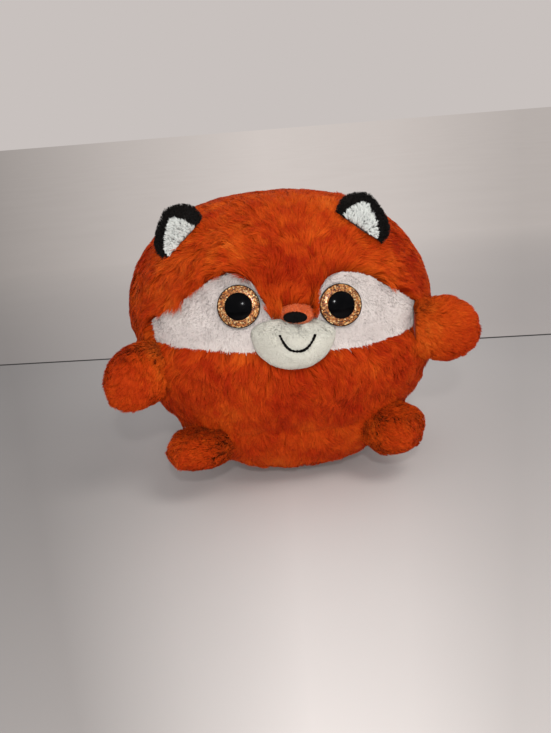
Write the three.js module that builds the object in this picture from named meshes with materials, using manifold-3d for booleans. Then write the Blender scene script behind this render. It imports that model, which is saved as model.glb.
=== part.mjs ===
// Round plush fox: a ball-shaped body of sewn plush panels over stuffing, with soft ears, arms,
// feet and a tail that fold at their seams. Millimetres, +Z up, the face looks along -Y,
// and left means -X. Every plush panel is as thick as its cloth and pile together.
import * as THREE from 'three';
import { mergeVertices } from 'three/addons/utils/BufferGeometryUtils.js';
import Module from 'manifold-3d';

const wasm = await Module();
wasm.setup();

// Body and head, one ball, measured at the tips of its long pile. Every rise is measured from
// the level where the ball is widest.
const bodyHalfWidth = 90;
const bodyFrontDepth = 76;
const bodyBackDepth = 74;
const crownRise = 83;
const ballDrop = 82.5;
const restingCut = 0.5;
const planExponent = 0.96;
const crownExponent = 0.84;
const sittingExponent = 0.74;
const necklineRise = 6;
const necklineDraw = 2.7;
const necklineBand = 9;
const hipTaper = 12.5;
const hipTaperRun = 40;
const hipTaperExponent = 1.7;
const headLean = 3;
const headLeanRun = 80;

// Plush, its seams and what lies under it
const longPanelThickness = 10;
const shortPanelThickness = 4;
const seamGap = 0.3;
const cheekLineRise = 12;
const sideSeamForward = 30;
const soleHalfWidth = 44;
const soleHalfDepth = 40;
const pelletBagHeight = 20;
const cutOverrun = 30;

// White eye patches: reach across, rise, and outline as shares of both
const patches = {
  left: {
    side: -1,
    innerEdge: 14,
    reach: 66,
    rise: 37.4,
    footRise: 9.6,
    outlineShares: [
      [0, 0], [0, 0.48], [0.05, 0.62], [0.08, 0.8], [0.2, 0.97], [0.35, 0.95],
      [0.53, 0.77], [0.69, 0.58], [0.87, 0.37], [1, 0.11], [0.84, 0.03], [0.5, 0.01],
    ],
  },
  right: {
    side: 1,
    innerEdge: 10,
    reach: 63,
    rise: 38.1,
    footRise: 3.9,
    outlineShares: [
      [0, 0.1], [0, 0.57], [0.01, 0.72], [0.06, 0.84], [0.14, 0.96], [0.25, 1],
      [0.38, 0.96], [0.52, 0.86], [0.67, 0.7], [0.83, 0.5], [1, 0.27], [0.95, 0.13],
      [0.87, 0.05], [0.7, 0.01], [0.38, 0],
    ],
  },
};

// Muzzle dome, snout pad, nose and stitched smile
const faceTiltDegrees = 4.5;
const muzzleCentreX = -2.4;
const muzzleCentreRise = 15.5;
const muzzleHalfWidth = 22.2;
const muzzleRise = 7.5;
const muzzleDrop = 19.5;
const muzzleDepth = 15.5;
const muzzleClothThickness = 3;
const snoutCentreX = -0.8;
const snoutCentreRise = 26.5;
const snoutHalfWidth = 9.4;
const snoutHalfHeight = 6.6;
const snoutDepth = 13;
const noseCentreX = -2.4;
const noseCentreRise = 26.2;
const noseHalfWidth = 6.1;
const noseHalfHeight = 2.8;
const noseDepth = 2.6;
const smileHalfWidth = 8.9;
const smileDepth = 8.2;
const smileExponent = 2.6;
const smileTopRise = 17.8;
const smileCentreX = -2.3;
const threadRadius = 0.65;

// Safety eyes: glossy domed pupil and glitter ring on a black back with a shank and lock washer
const eyes = {
  left: { centreX: -28.8, centreRise: 31, turnDegrees: 5 },
  right: { centreX: 22.7, centreRise: 27.1, turnDegrees: -10 },
};
const eyeRadius = 11;
const eyeBackThickness = 1.6;
const eyeRimHeight = 2.8;
const eyeRimWidth = 0.6;
const pupilRadius = 7;
const pupilHeight = 3.2;
const irisInnerHeight = 1.9;
const irisOuterHeight = 1;
const shankRadius = 2.2;
const shankLength = 12;
const washerRadius = 7;
const washerThickness = 1.5;

// Soft limbs: seat on the ball, heading, sizes from the seat to the tip, and how far they fold
const limbClearance = 0.8;
const limbSkin = 6;
const arms = {
  left: {
    azimuthDegrees: -61, latitudeDegrees: -1.65, headingDegrees: -67, risingDegrees: 0,
    length: 27, root: 9, halfSpan: 18.5, halfThickness: 12, bend: -5,
    foldDegrees: [-30, 30],
  },
  right: {
    azimuthDegrees: 56, latitudeDegrees: 1.2, headingDegrees: 79, risingDegrees: 0,
    length: 31, root: 9, halfSpan: 18.5, halfThickness: 12, bend: -1.5,
    foldDegrees: [-30, 30],
  },
};
const feet = {
  left: {
    azimuthDegrees: -47, latitudeDegrees: -31.5, headingDegrees: -61, risingDegrees: -3,
    length: 26, root: 15, halfSpan: 18, halfThickness: 10.5, bend: 0,
    foldDegrees: [-10, 15],
  },
  right: {
    azimuthDegrees: 41.5, latitudeDegrees: -31, headingDegrees: 40, risingDegrees: -4,
    length: 23, root: 15, halfSpan: 17, halfThickness: 14.5, bend: 0,
    foldDegrees: [-10, 15],
  },
};
const ears = {
  left: {
    azimuthDegrees: -51.5, latitudeDegrees: 47.5, leanDegrees: -43, turnDegrees: 8,
    bend: 5, liningShift: -1.6, foldDegrees: [-30, 20],
  },
  right: {
    azimuthDegrees: 38.3, latitudeDegrees: 46.4, leanDegrees: 38, turnDegrees: 28,
    bend: -5, liningShift: 1.6, foldDegrees: [-30, 20],
  },
};
const ear = { length: 16.8, root: 6, halfSpan: 16.1, halfThickness: 4.2 };
const earRim = 4.6;
const liningRecess = 1.4;
const tail = {
  azimuthDegrees: 180, latitudeDegrees: -21, headingDegrees: 180, risingDegrees: 34,
  length: 46, root: 12, halfSpan: 15, halfThickness: 14, bend: 9,
  foldDegrees: [-25, 25],
};
const tailTipLength = 16;

// How limbs swell and taper, as shares of their length and section
const softLimb = { swellShare: 0.5, rootShare: 0.72, tipExponent: 0.5, sectionExponent: 0.85 };
const paw = { swellShare: 0.5, rootShare: 0.8, tipExponent: 0.38, sectionExponent: 0.75 };
const earBlade = { swellShare: 0.3, rootShare: 0.94, tipExponent: 0.93, sectionExponent: 0.8 };
const brush = { swellShare: 0.5, rootShare: 0.5, tipExponent: 0.72, sectionExponent: 1 };

// Facets
const bodyAroundCount = 36;
const bodyRingCount = 18;
const coreAroundCount = 24;
const coreRingCount = 12;
const limbAroundCount = 12;
const limbRingCount = 8;
const padAroundCount = 18;
const padRingCount = 10;
const eyeAroundCount = 22;
const domeStepCount = 4;
const outlineStepCount = 3;
const threadStepCount = 16;
const threadSideCount = 6;
const foldStepCount = 4;

const { degToRad, radToDeg } = THREE.MathUtils;
const rowUp = new THREE.Vector3(0, 0, 1);
const wideReach = bodyHalfWidth + bodyFrontDepth + cutOverrun;
const widestLevel = ballDrop - restingCut;
const necklineLevel = widestLevel + necklineRise;

function signedPower(value, exponent) {
  return Math.sign(value) * Math.abs(value) ** exponent;
}

// A point on the ball, inset below the tips of the long pile
function bodyPoint(azimuth, latitude, inset) {
  const exponent = latitude > 0 ? crownExponent : sittingExponent;
  const ring = signedPower(Math.cos(latitude), exponent);
  const level = signedPower(Math.sin(latitude), exponent);
  const z = widestLevel + level * ((level > 0 ? crownRise : ballDrop) - inset);
  const draw = necklineDraw * Math.exp(-(((z - necklineLevel) / necklineBand) ** 2));
  const belowShare = THREE.MathUtils.clamp((widestLevel - z) / hipTaperRun, 0, 1);
  const narrowed = inset + draw + hipTaper * belowShare ** hipTaperExponent;
  const depth = (Math.cos(azimuth) > 0 ? bodyFrontDepth : bodyBackDepth) - narrowed;
  const lean = -headLean * (z - necklineLevel) / headLeanRun;
  const x = (bodyHalfWidth - narrowed) * ring * signedPower(Math.sin(azimuth), planExponent);
  const y = -depth * ring * signedPower(Math.cos(azimuth), planExponent);
  return new THREE.Vector3(x + lean, y, z);
}

// The point, outward normal and rising tangent of the ball at two angles
function bodySeat({ azimuthDegrees, latitudeDegrees }, inset = 0) {
  const azimuth = degToRad(azimuthDegrees);
  const latitude = degToRad(latitudeDegrees);
  const small = degToRad(1);
  const point = bodyPoint(azimuth, latitude, inset);
  const rising = bodyPoint(azimuth, latitude + small, inset)
    .sub(bodyPoint(azimuth, latitude - small, inset)).normalize();
  const turning = bodyPoint(azimuth + small, latitude, inset)
    .sub(bodyPoint(azimuth - small, latitude, inset)).normalize();
  const outward = new THREE.Vector3().crossVectors(turning, rising).normalize();
  return { point, outward, rising };
}

// The angles of the ball behind a place on the face
function faceAngles({ centreX, centreRise }, inset) {
  const share = centreRise / (crownRise - inset);
  const latitude = Math.asin(signedPower(share, 1 / crownExponent));
  const middle = bodyPoint(0, latitude, inset);
  const edge = bodyPoint(Math.PI / 2, latitude, inset);
  const across = (centreX - middle.x) / (edge.x - middle.x);
  const azimuth = Math.asin(signedPower(across, 1 / planExponent));
  return { azimuthDegrees: radToDeg(azimuth), latitudeDegrees: radToDeg(latitude) };
}

// A closed geometry from rings of points; a ring of one point is a pole
function loft(rings) {
  const positions = rings.flat().flatMap((point) => point.toArray());
  const starts = [];
  rings.reduce((start, ring) => {
    starts.push(start);
    return start + ring.length;
  }, 0);
  const triangles = [];
  for (let i = 0; i + 1 < rings.length; i += 1) {
    const [low, high] = [rings[i], rings[i + 1]];
    const count = Math.max(low.length, high.length);
    for (let j = 0; j < count; j += 1) {
      const k = (j + 1) % count;
      const a = starts[i] + (low.length > 1 ? j : 0);
      const b = starts[i] + (low.length > 1 ? k : 0);
      const c = starts[i + 1] + (high.length > 1 ? k : 0);
      const d = starts[i + 1] + (high.length > 1 ? j : 0);
      if (a !== b) triangles.push(a, b, c);
      if (c !== d) triangles.push(a, c, d);
    }
  }
  const geometry = new THREE.BufferGeometry();
  geometry.setAttribute('position', new THREE.Float32BufferAttribute(positions, 3));
  geometry.setIndex(triangles);
  return geometry;
}

function toSolid(geometry) {
  const bare = geometry.clone();
  bare.deleteAttribute('normal');
  bare.deleteAttribute('uv');
  const merged = mergeVertices(bare);
  return new wasm.Manifold(new wasm.Mesh({
    numProp: 3,
    vertProperties: new Float32Array(merged.attributes.position.array),
    triVerts: new Uint32Array(merged.index.array),
  }));
}

function toGeometry(solid) {
  const { vertProperties, triVerts } = solid.getMesh();
  const geometry = new THREE.BufferGeometry();
  geometry.setAttribute('position', new THREE.BufferAttribute(vertProperties, 3));
  geometry.setIndex(new THREE.BufferAttribute(triVerts, 1));
  const faceted = geometry.toNonIndexed();
  faceted.computeVertexNormals();
  return faceted;
}

function boxBetween(low, high) {
  const size = new THREE.Vector3().subVectors(high, low);
  const centre = new THREE.Vector3().addVectors(low, high).divideScalar(2);
  return new THREE.BoxGeometry(size.x, size.y, size.z).translate(centre.x, centre.y, centre.z);
}

// Everything on one side of a level plane or of the side seam
function spaceAbove(level) {
  return toSolid(boxBetween(
    new THREE.Vector3(-wideReach, -wideReach, level),
    new THREE.Vector3(wideReach, wideReach, level + 2 * wideReach),
  ));
}

function spaceBehind(y) {
  return toSolid(boxBetween(
    new THREE.Vector3(-wideReach, y, -wideReach),
    new THREE.Vector3(wideReach, y + 2 * wideReach, 2 * wideReach),
  ));
}

function spaceLeftOf(x) {
  return toSolid(boxBetween(
    new THREE.Vector3(x - 2 * wideReach, -wideReach, -wideReach),
    new THREE.Vector3(x, wideReach, 2 * wideReach),
  ));
}

// A closed surface swept by two angles, with a pole at each end
function angularForm(pointAt, aroundCount, ringCount) {
  const rings = [];
  for (let i = 0; i <= ringCount; i += 1) {
    const latitude = Math.PI * (i / ringCount - 0.5);
    const isPole = i === 0 || i === ringCount;
    const ring = [];
    for (let j = 0; j < (isPole ? 1 : aroundCount); j += 1) {
      ring.push(pointAt(2 * Math.PI * j / aroundCount, latitude));
    }
    rings.push(ring);
  }
  return loft(rings);
}

function ballForm(inset, aroundCount, ringCount) {
  return angularForm((azimuth, latitude) => bodyPoint(azimuth, latitude, inset), aroundCount, ringCount);
}

// The ball at its full fineness, and the plainer one that the panels are filled to
function ball(inset) {
  return toSolid(ballForm(inset, bodyAroundCount, bodyRingCount));
}

function core(inset) {
  return toSolid(ballForm(inset, coreAroundCount, coreRingCount));
}

// A closed outline in X and Z, drawn as a smooth curve through its points
function outlinePrism(points, grow) {
  const curve = new THREE.SplineCurve(points.map(([x, z]) => new THREE.Vector2(x, z)));
  const smooth = curve.getPoints(points.length * outlineStepCount).slice(0, -1);
  const grown = smooth.map((point, index) => {
    const before = smooth[(index + smooth.length - 1) % smooth.length];
    const after = smooth[(index + 1) % smooth.length];
    const along = new THREE.Vector2().subVectors(after, before).normalize();
    return point.clone().add(new THREE.Vector2(-along.y, along.x).multiplyScalar(grow));
  });
  const depth = wideReach - sideSeamForward;
  const prism = new THREE.ExtrudeGeometry(new THREE.Shape(grown), { depth, bevelEnabled: false });
  return toSolid(prism.rotateX(Math.PI / 2).translate(0, -sideSeamForward, 0));
}

// Eye patch outlines run clockwise seen from the front, so that growing them moves outward
function patchPrism({ side, innerEdge, reach, rise, footRise, outlineShares }, grow) {
  const points = outlineShares.map(([across, up]) => [
    side * (innerEdge + across * reach),
    widestLevel + footRise + up * rise,
  ]);
  points.push(points[0]);
  return outlinePrism(points, side > 0 ? grow : -grow);
}

// A dome of three half-axes whose upper and lower halves may differ
function padForm({ centre, halfWidth, depth, rise, drop }, grow) {
  const pointAt = (azimuth, latitude) => {
    const ring = Math.cos(latitude);
    const up = Math.sin(latitude);
    return new THREE.Vector3(
      (halfWidth + grow) * ring * Math.sin(azimuth),
      -(depth + grow) * ring * Math.cos(azimuth),
      up * ((up > 0 ? rise : drop) + grow),
    );
  };
  const form = angularForm(pointAt, padAroundCount, padRingCount);
  return form.rotateY(degToRad(faceTiltDegrees)).translate(centre.x, centre.y, centre.z);
}

const panelFloorY = -(bodyFrontDepth - longPanelThickness);
const muzzlePad = {
  centre: new THREE.Vector3(muzzleCentreX, panelFloorY, widestLevel + muzzleCentreRise),
  halfWidth: muzzleHalfWidth,
  depth: muzzleDepth,
  rise: muzzleRise,
  drop: muzzleDrop,
};
const snoutPad = {
  centre: new THREE.Vector3(snoutCentreX, panelFloorY, widestLevel + snoutCentreRise),
  halfWidth: snoutHalfWidth,
  depth: snoutDepth,
  rise: snoutHalfHeight,
  drop: snoutHalfHeight,
};
const noseForm = {
  centre: new THREE.Vector3(
    noseCentreX, panelFloorY - snoutDepth + noseDepth / 2, widestLevel + noseCentreRise),
  halfWidth: noseHalfWidth,
  depth: noseDepth,
  rise: noseHalfHeight,
  drop: noseHalfHeight,
};

// Eyes: turned parts about the normal of the cloth that they sit on, each turned a little
// towards the front
function eyeFrame(eye) {
  const inset = longPanelThickness - shortPanelThickness;
  const seat = bodySeat(faceAngles(eye, inset), inset);
  const facing = seat.outward.clone().applyAxisAngle(rowUp, degToRad(eye.turnDegrees));
  const turn = new THREE.Quaternion().setFromUnitVectors(rowUp, facing);
  const place = seat.point.addScaledVector(facing, seamGap);
  return new THREE.Matrix4().compose(place, turn, new THREE.Vector3(1, 1, 1));
}

function turned(profile, frame) {
  const points = profile.map(([radius, height]) => new THREE.Vector2(radius, height));
  const geometry = new THREE.LatheGeometry(points, eyeAroundCount);
  return toSolid(geometry.rotateX(Math.PI / 2).applyMatrix4(frame));
}

function plug(radius, low, high, frame) {
  return turned([[0, low], [radius, low], [radius, high], [0, high]], frame);
}

function eyeBack(frame) {
  const rimFloor = eyeRadius - eyeRimWidth;
  return turned([
    [0, -shankLength],
    [shankRadius, -shankLength],
    [shankRadius, 0],
    [eyeRadius, 0],
    [eyeRadius, eyeRimHeight],
    [rimFloor, eyeRimHeight],
    [rimFloor, eyeBackThickness],
    [0, eyeBackThickness],
  ], frame);
}

function domeProfile(radius, base, height) {
  const profile = [[0, base], [radius, base]];
  for (let step = 1; step <= domeStepCount; step += 1) {
    const angle = Math.PI / 2 * step / domeStepCount;
    const atTop = step === domeStepCount;
    profile.push([atTop ? 0 : radius * Math.cos(angle), base + height * Math.sin(angle)]);
  }
  return profile;
}

function eyeIris(frame) {
  const inner = pupilRadius + seamGap;
  const outer = eyeRadius - eyeRimWidth - seamGap;
  const base = eyeBackThickness + seamGap;
  return turned([
    [inner, base],
    [outer, base],
    [outer, base + irisOuterHeight],
    [inner, base + irisInnerHeight],
    [inner, base],
  ], frame);
}

// The washer presses the back of the cloth flat
const washerTop = -shortPanelThickness - seamGap;

function eyeWasher(frame) {
  const bore = shankRadius + seamGap;
  return turned([
    [bore, washerTop - washerThickness],
    [washerRadius, washerTop - washerThickness],
    [washerRadius, washerTop],
    [bore, washerTop],
    [bore, washerTop - washerThickness],
  ], frame);
}

// The hole for an eye's shank with the room behind the cloth for its washer
function eyeSocket(eye) {
  const frame = eyeFrame(eye);
  const behind = -shankLength - seamGap;
  return plug(shankRadius + seamGap, behind, 0, frame)
    .add(plug(washerRadius + seamGap, behind, washerTop + seamGap, frame));
}

// All the room that an eye takes: its socket and the pile that it presses aside
function eyeRoom(eye) {
  return eyeSocket(eye)
    .add(plug(eyeRadius + seamGap, -seamGap, eyeRimHeight + pupilHeight, eyeFrame(eye)));
}

// A limb in its own frame: X to the tip, Z along its fold line, Y through its thickness
function limbForm(size, shape, inset) {
  const { length, root, halfSpan, halfThickness, bend } = size;
  const start = inset - root;
  const run = length - inset - start;
  const rings = [];
  for (let i = 0; i <= limbRingCount; i += 1) {
    const share = Math.sin(Math.PI / 2 * i / limbRingCount);
    const past = Math.max(0, (share - shape.swellShare) / (1 - shape.swellShare));
    const before = Math.min(1, share / shape.swellShare);
    const swell = shape.rootShare + (1 - shape.rootShare) * Math.sin(Math.PI / 2 * before);
    const section = swell * Math.max(0, 1 - past * past) ** shape.tipExponent;
    const middle = bend * share * share;
    const ring = [];
    for (let j = 0; j < limbAroundCount; j += 1) {
      const angle = 2 * Math.PI * j / limbAroundCount;
      ring.push(new THREE.Vector3(
        start + run * share,
        (halfThickness - inset) * section * signedPower(Math.cos(angle), shape.sectionExponent),
        middle + (halfSpan - inset) * section * signedPower(Math.sin(angle), shape.sectionExponent),
      ));
    }
    rings.push(i === limbRingCount ? [new THREE.Vector3(length - inset, 0, middle)] : ring);
  }
  return loft([[new THREE.Vector3(start, 0, 0)], ...rings]);
}

function headingVector({ headingDegrees, risingDegrees }) {
  const heading = degToRad(headingDegrees);
  const rise = degToRad(risingDegrees);
  return new THREE.Vector3(
    Math.sin(heading) * Math.cos(rise),
    -Math.cos(heading) * Math.cos(rise),
    Math.sin(rise),
  );
}

// The frame of a limb: its fold line passes through the seat, just clear of the pile
function limbFrame(seat, heading, span) {
  const along = heading.clone().normalize();
  const axis = span.clone().addScaledVector(along, -span.dot(along)).normalize();
  const through = new THREE.Vector3().crossVectors(axis, along);
  const point = seat.point.clone().addScaledVector(seat.outward, limbClearance);
  const matrix = new THREE.Matrix4().makeBasis(along, through, axis).setPosition(point);
  return { matrix, point, axis };
}

// What the ball would cut from a limb that folds from one end of its range to the other
function foldedBody(frame, foldDegrees) {
  const swept = [];
  for (let step = 0; step <= foldStepCount; step += 1) {
    const degrees = THREE.MathUtils.lerp(foldDegrees[0], foldDegrees[1], step / foldStepCount);
    const back = new THREE.Matrix4().makeTranslation(frame.point.x, frame.point.y, frame.point.z)
      .multiply(new THREE.Matrix4().makeRotationAxis(frame.axis, -degToRad(degrees)))
      .multiply(new THREE.Matrix4().makeTranslation(-frame.point.x, -frame.point.y, -frame.point.z));
    swept.push(ballForm(-limbClearance, bodyAroundCount, bodyRingCount).applyMatrix4(back));
  }
  return swept.map(toSolid);
}

function clearOfBody(solid, frame, foldDegrees) {
  return foldedBody(frame, foldDegrees).reduce((left, body) => left.subtract(body), solid);
}

// Half of the space about a limb, on the side that its thickness points to
function limbSide(frame, sign, offset, reach) {
  const low = new THREE.Vector3(-reach, offset, -reach);
  const high = new THREE.Vector3(reach, reach, reach);
  const half = boxBetween(low, high);
  if (sign < 0) half.rotateZ(Math.PI);
  return toSolid(half.applyMatrix4(frame.matrix));
}

function softLimbParts(size, shape, frame) {
  const outer = clearOfBody(
    toSolid(limbForm(size, shape, 0).applyMatrix4(frame.matrix)), frame, size.foldDegrees);
  const hollow = toSolid(limbForm(size, shape, limbSkin).applyMatrix4(frame.matrix));
  const filling = clearOfBody(
    toSolid(limbForm(size, shape, limbSkin + seamGap).applyMatrix4(frame.matrix)),
    frame, size.foldDegrees);
  const reach = size.length + size.root + cutOverrun;
  const skin = outer.subtract(hollow);
  return {
    front: skin.intersect(limbSide(frame, 1, seamGap / 2, reach)),
    back: skin.intersect(limbSide(frame, -1, seamGap / 2, reach)),
    filling,
  };
}

const plush = {
  orange: { color: '#c9501c', roughness: 0.95, metalness: 0 },
  white: { color: '#ddd4d0', roughness: 0.95, metalness: 0 },
  muzzle: { color: '#d3d8cc', roughness: 0.95, metalness: 0 },
  peach: { color: '#d9793f', roughness: 0.95, metalness: 0 },
  black: { color: '#17120f', roughness: 0.95, metalness: 0 },
};
const otherMaterials = {
  stuffing: { color: '#f1efe9', roughness: 1, metalness: 0 },
  pelletCloth: { color: '#bdb6a8', roughness: 0.9, metalness: 0 },
  thread: { color: '#14100e', roughness: 0.7, metalness: 0 },
  eyePlastic: { color: '#0b0a0a', roughness: 0.15, metalness: 0 },
  glitter: { color: '#b8702e', roughness: 0.3, metalness: 0.7 },
  washerPlastic: { color: '#e4e2dc', roughness: 0.5, metalness: 0 },
};

const fox = new THREE.Group();
fox.name = 'plush_fox';
fox.userData.foldLines = {};

function addPiece(name, solid, finish) {
  const mesh = new THREE.Mesh(toGeometry(solid), new THREE.MeshStandardMaterial(finish));
  mesh.name = name;
  fox.add(mesh);
}

function noteFold(name, frame, foldDegrees) {
  fox.userData.foldLines[name] = { point: frame.point, axis: frame.axis, foldDegrees };
}

// Panels of the ball: long pile to the tips, short pile set back from them
function addBodyPanels() {
  const outer = ball(0).intersect(spaceAbove(0));
  const floor = core(longPanelThickness);
  const longSkin = outer.subtract(floor);
  const shortSkin = ball(longPanelThickness - shortPanelThickness).subtract(floor);
  const sole = new THREE.CylinderGeometry(1, 1, widestLevel, bodyAroundCount)
    .rotateX(Math.PI / 2);
  const soleAt = (grow) => toSolid(
    sole.clone().scale(soleHalfWidth + grow, soleHalfDepth + grow, 1));
  const muzzle = toSolid(padForm(muzzlePad, seamGap));
  const snout = toSolid(padForm(snoutPad, seamGap));
  const eyeRooms = Object.values(eyes).map(eyeRoom);
  const clearOfEyes = (solid) => eyeRooms.reduce((left, room) => left.subtract(room), solid);

  const front = clearOfEyes(longSkin.subtract(spaceBehind(-sideSeamForward - seamGap / 2))
    .subtract(soleAt(seamGap))
    .subtract(muzzle)
    .subtract(snout)
    .subtract(patchPrism(patches.left, seamGap))
    .subtract(patchPrism(patches.right, seamGap)));
  const cheekLine = widestLevel + cheekLineRise;
  const cheeksDown = front.subtract(spaceAbove(cheekLine - seamGap / 2));
  addPiece('crown_panel', front.intersect(spaceAbove(cheekLine + seamGap / 2)), plush.orange);
  addPiece('belly_panel', cheeksDown, plush.orange);
  for (const [side, patch] of Object.entries(patches)) {
    const panel = shortSkin.intersect(patchPrism(patch, 0)).subtract(muzzle).subtract(snout);
    addPiece(`eye_patch_${side}`, clearOfEyes(panel), plush.white);
  }

  const back = longSkin.intersect(spaceBehind(-sideSeamForward + seamGap / 2))
    .subtract(soleAt(seamGap));
  addPiece('back_panel_left', back.intersect(spaceLeftOf(-seamGap / 2)), plush.orange);
  addPiece('back_panel_right', back.subtract(spaceLeftOf(seamGap / 2)), plush.orange);
  addPiece('sole_panel', longSkin.intersect(soleAt(0)), plush.orange);
}

// Stuffing fills the ball above the bag of pellets that weighs it down
function addFilling() {
  const filled = core(longPanelThickness + seamGap);
  const bagTop = longPanelThickness + pelletBagHeight;
  const stuffing = Object.values(eyes).map(eyeSocket).reduce(
    (left, socket) => left.subtract(socket), filled.intersect(spaceAbove(bagTop + seamGap)));
  addPiece('body_stuffing', stuffing, otherMaterials.stuffing);
  addPiece('pellet_bag', filled.subtract(spaceAbove(bagTop)), otherMaterials.pelletCloth);
}

function addMuzzle() {
  const floor = core(longPanelThickness);
  const snout = toSolid(padForm(snoutPad, seamGap));
  const eyeRooms = Object.values(eyes).map(eyeRoom);
  const clear = (solid) => eyeRooms.reduce((left, room) => left.subtract(room), solid);
  const dome = clear(toSolid(padForm(muzzlePad, 0)).subtract(floor).subtract(snout));
  const hollow = toSolid(padForm(muzzlePad, -muzzleClothThickness));
  const filling = toSolid(padForm(muzzlePad, -muzzleClothThickness - seamGap));
  addPiece('muzzle_panel', dome.subtract(hollow), plush.muzzle);
  addPiece('muzzle_stuffing', clear(filling.subtract(floor).subtract(snout)), otherMaterials.stuffing);
  const pad = clear(toSolid(padForm(snoutPad, 0)).subtract(floor));
  addPiece('snout_pad', pad, plush.peach);
  const nose = toSolid(padForm(noseForm, 0)).subtract(snout);
  addPiece('nose', nose, otherMaterials.thread);
  addPiece('smile_stitch', smileStitch(), otherMaterials.thread);
}

// The smile lies on the muzzle's dome, in the dome's own tilted frame
function smileStitch() {
  const lift = threadRadius + seamGap;
  const points = [];
  for (let step = 0; step <= threadStepCount; step += 1) {
    const share = 2 * step / threadStepCount - 1;
    const x = smileCentreX - muzzleCentreX + share * smileHalfWidth;
    const z = smileTopRise - muzzleCentreRise - smileDepth * (1 - Math.abs(share) ** smileExponent);
    const half = (z > 0 ? muzzleRise : muzzleDrop) + lift;
    const cover = 1 - (x / (muzzleHalfWidth + lift)) ** 2 - (z / half) ** 2;
    points.push(new THREE.Vector3(x, -(muzzleDepth + lift) * Math.sqrt(cover), z));
  }
  const section = new THREE.Shape(new THREE.EllipseCurve(
    0, 0, threadRadius, threadRadius, 0, 2 * Math.PI).getPoints(threadSideCount).slice(0, -1));
  const thread = new THREE.ExtrudeGeometry(section, {
    steps: threadStepCount,
    extrudePath: new THREE.CatmullRomCurve3(points),
    bevelEnabled: false,
  });
  const { x, y, z } = muzzlePad.centre;
  return toSolid(thread.rotateY(degToRad(faceTiltDegrees)).translate(x, y, z));
}

function addEyes() {
  for (const [side, eye] of Object.entries(eyes)) {
    const frame = eyeFrame(eye);
    const base = eyeBackThickness + seamGap;
    addPiece(`eye_back_${side}`, eyeBack(frame), otherMaterials.eyePlastic);
    addPiece(`eye_iris_${side}`, eyeIris(frame), otherMaterials.glitter);
    addPiece(`eye_pupil_${side}`, turned(domeProfile(pupilRadius, base, pupilHeight), frame),
      otherMaterials.eyePlastic);
    addPiece(`eye_washer_${side}`, eyeWasher(frame), otherMaterials.washerPlastic);
  }
}

function addArms() {
  for (const [side, arm] of Object.entries(arms)) {
    const seat = bodySeat(arm);
    const span = rowUp.clone().multiplyScalar(side === 'left' ? 1 : -1);
    const size = { ...arm, bend: side === 'left' ? arm.bend : -arm.bend };
    const frame = limbFrame(seat, headingVector(arm), span);
    const parts = softLimbParts(size, softLimb, frame);
    addPiece(`arm_front_${side}`, parts.front, plush.orange);
    addPiece(`arm_back_${side}`, parts.back, plush.orange);
    addPiece(`arm_stuffing_${side}`, parts.filling, otherMaterials.stuffing);
    noteFold(`arm_${side}`, frame, arm.foldDegrees);
  }
}

function addFeet() {
  for (const [side, foot] of Object.entries(feet)) {
    const heading = headingVector(foot);
    const frame = limbFrame(bodySeat(foot), heading, heading.clone().cross(rowUp));
    const parts = softLimbParts(foot, paw, frame);
    addPiece(`foot_top_${side}`, parts.front, plush.orange);
    addPiece(`foot_sole_${side}`, parts.back, plush.orange);
    addPiece(`foot_stuffing_${side}`, parts.filling, otherMaterials.stuffing);
    noteFold(`foot_${side}`, frame, foot.foldDegrees);
  }
}

// Ears: a black blade with a white lining set into its front
function addEars() {
  for (const [side, place] of Object.entries(ears)) {
    const size = { ...ear, bend: place.bend };
    const recess = {
      ...size,
      length: ear.length - earRim,
      halfSpan: ear.halfSpan - earRim,
      halfThickness: 2 * ear.halfThickness,
    };
    const lean = degToRad(place.leanDegrees);
    const turn = degToRad(place.turnDegrees);
    const along = new THREE.Vector3(Math.sin(lean), 0, Math.cos(lean));
    const span = new THREE.Vector3(Math.cos(lean), -Math.sin(turn), -Math.sin(lean));
    const frame = limbFrame(bodySeat(place), along, span);
    const whole = () => limbForm(size, earBlade, 0).applyMatrix4(frame.matrix);
    const recessOf = (inset) => toSolid(limbForm(recess, earBlade, inset)
      .translate(0, 0, place.liningShift).applyMatrix4(frame.matrix));
    const reach = ear.length + ear.root + cutOverrun;
    const blade = clearOfBody(toSolid(whole()), frame, place.foldDegrees);
    const room = recessOf(0).intersect(limbSide(frame, 1, 0, reach));
    const through = new THREE.Vector3().setFromMatrixColumn(frame.matrix, 1);
    const back = through.multiplyScalar(-liningRecess);
    const sunk = clearOfBody(
      toSolid(whole().translate(back.x, back.y, back.z)), frame, place.foldDegrees);
    const lining = recessOf(seamGap).intersect(limbSide(frame, 1, seamGap, reach))
      .intersect(sunk);
    addPiece(`ear_back_${side}`, blade.subtract(room), plush.black);
    addPiece(`ear_lining_${side}`, lining, plush.white);
    noteFold(`ear_${side}`, frame, place.foldDegrees);
  }
}

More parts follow.
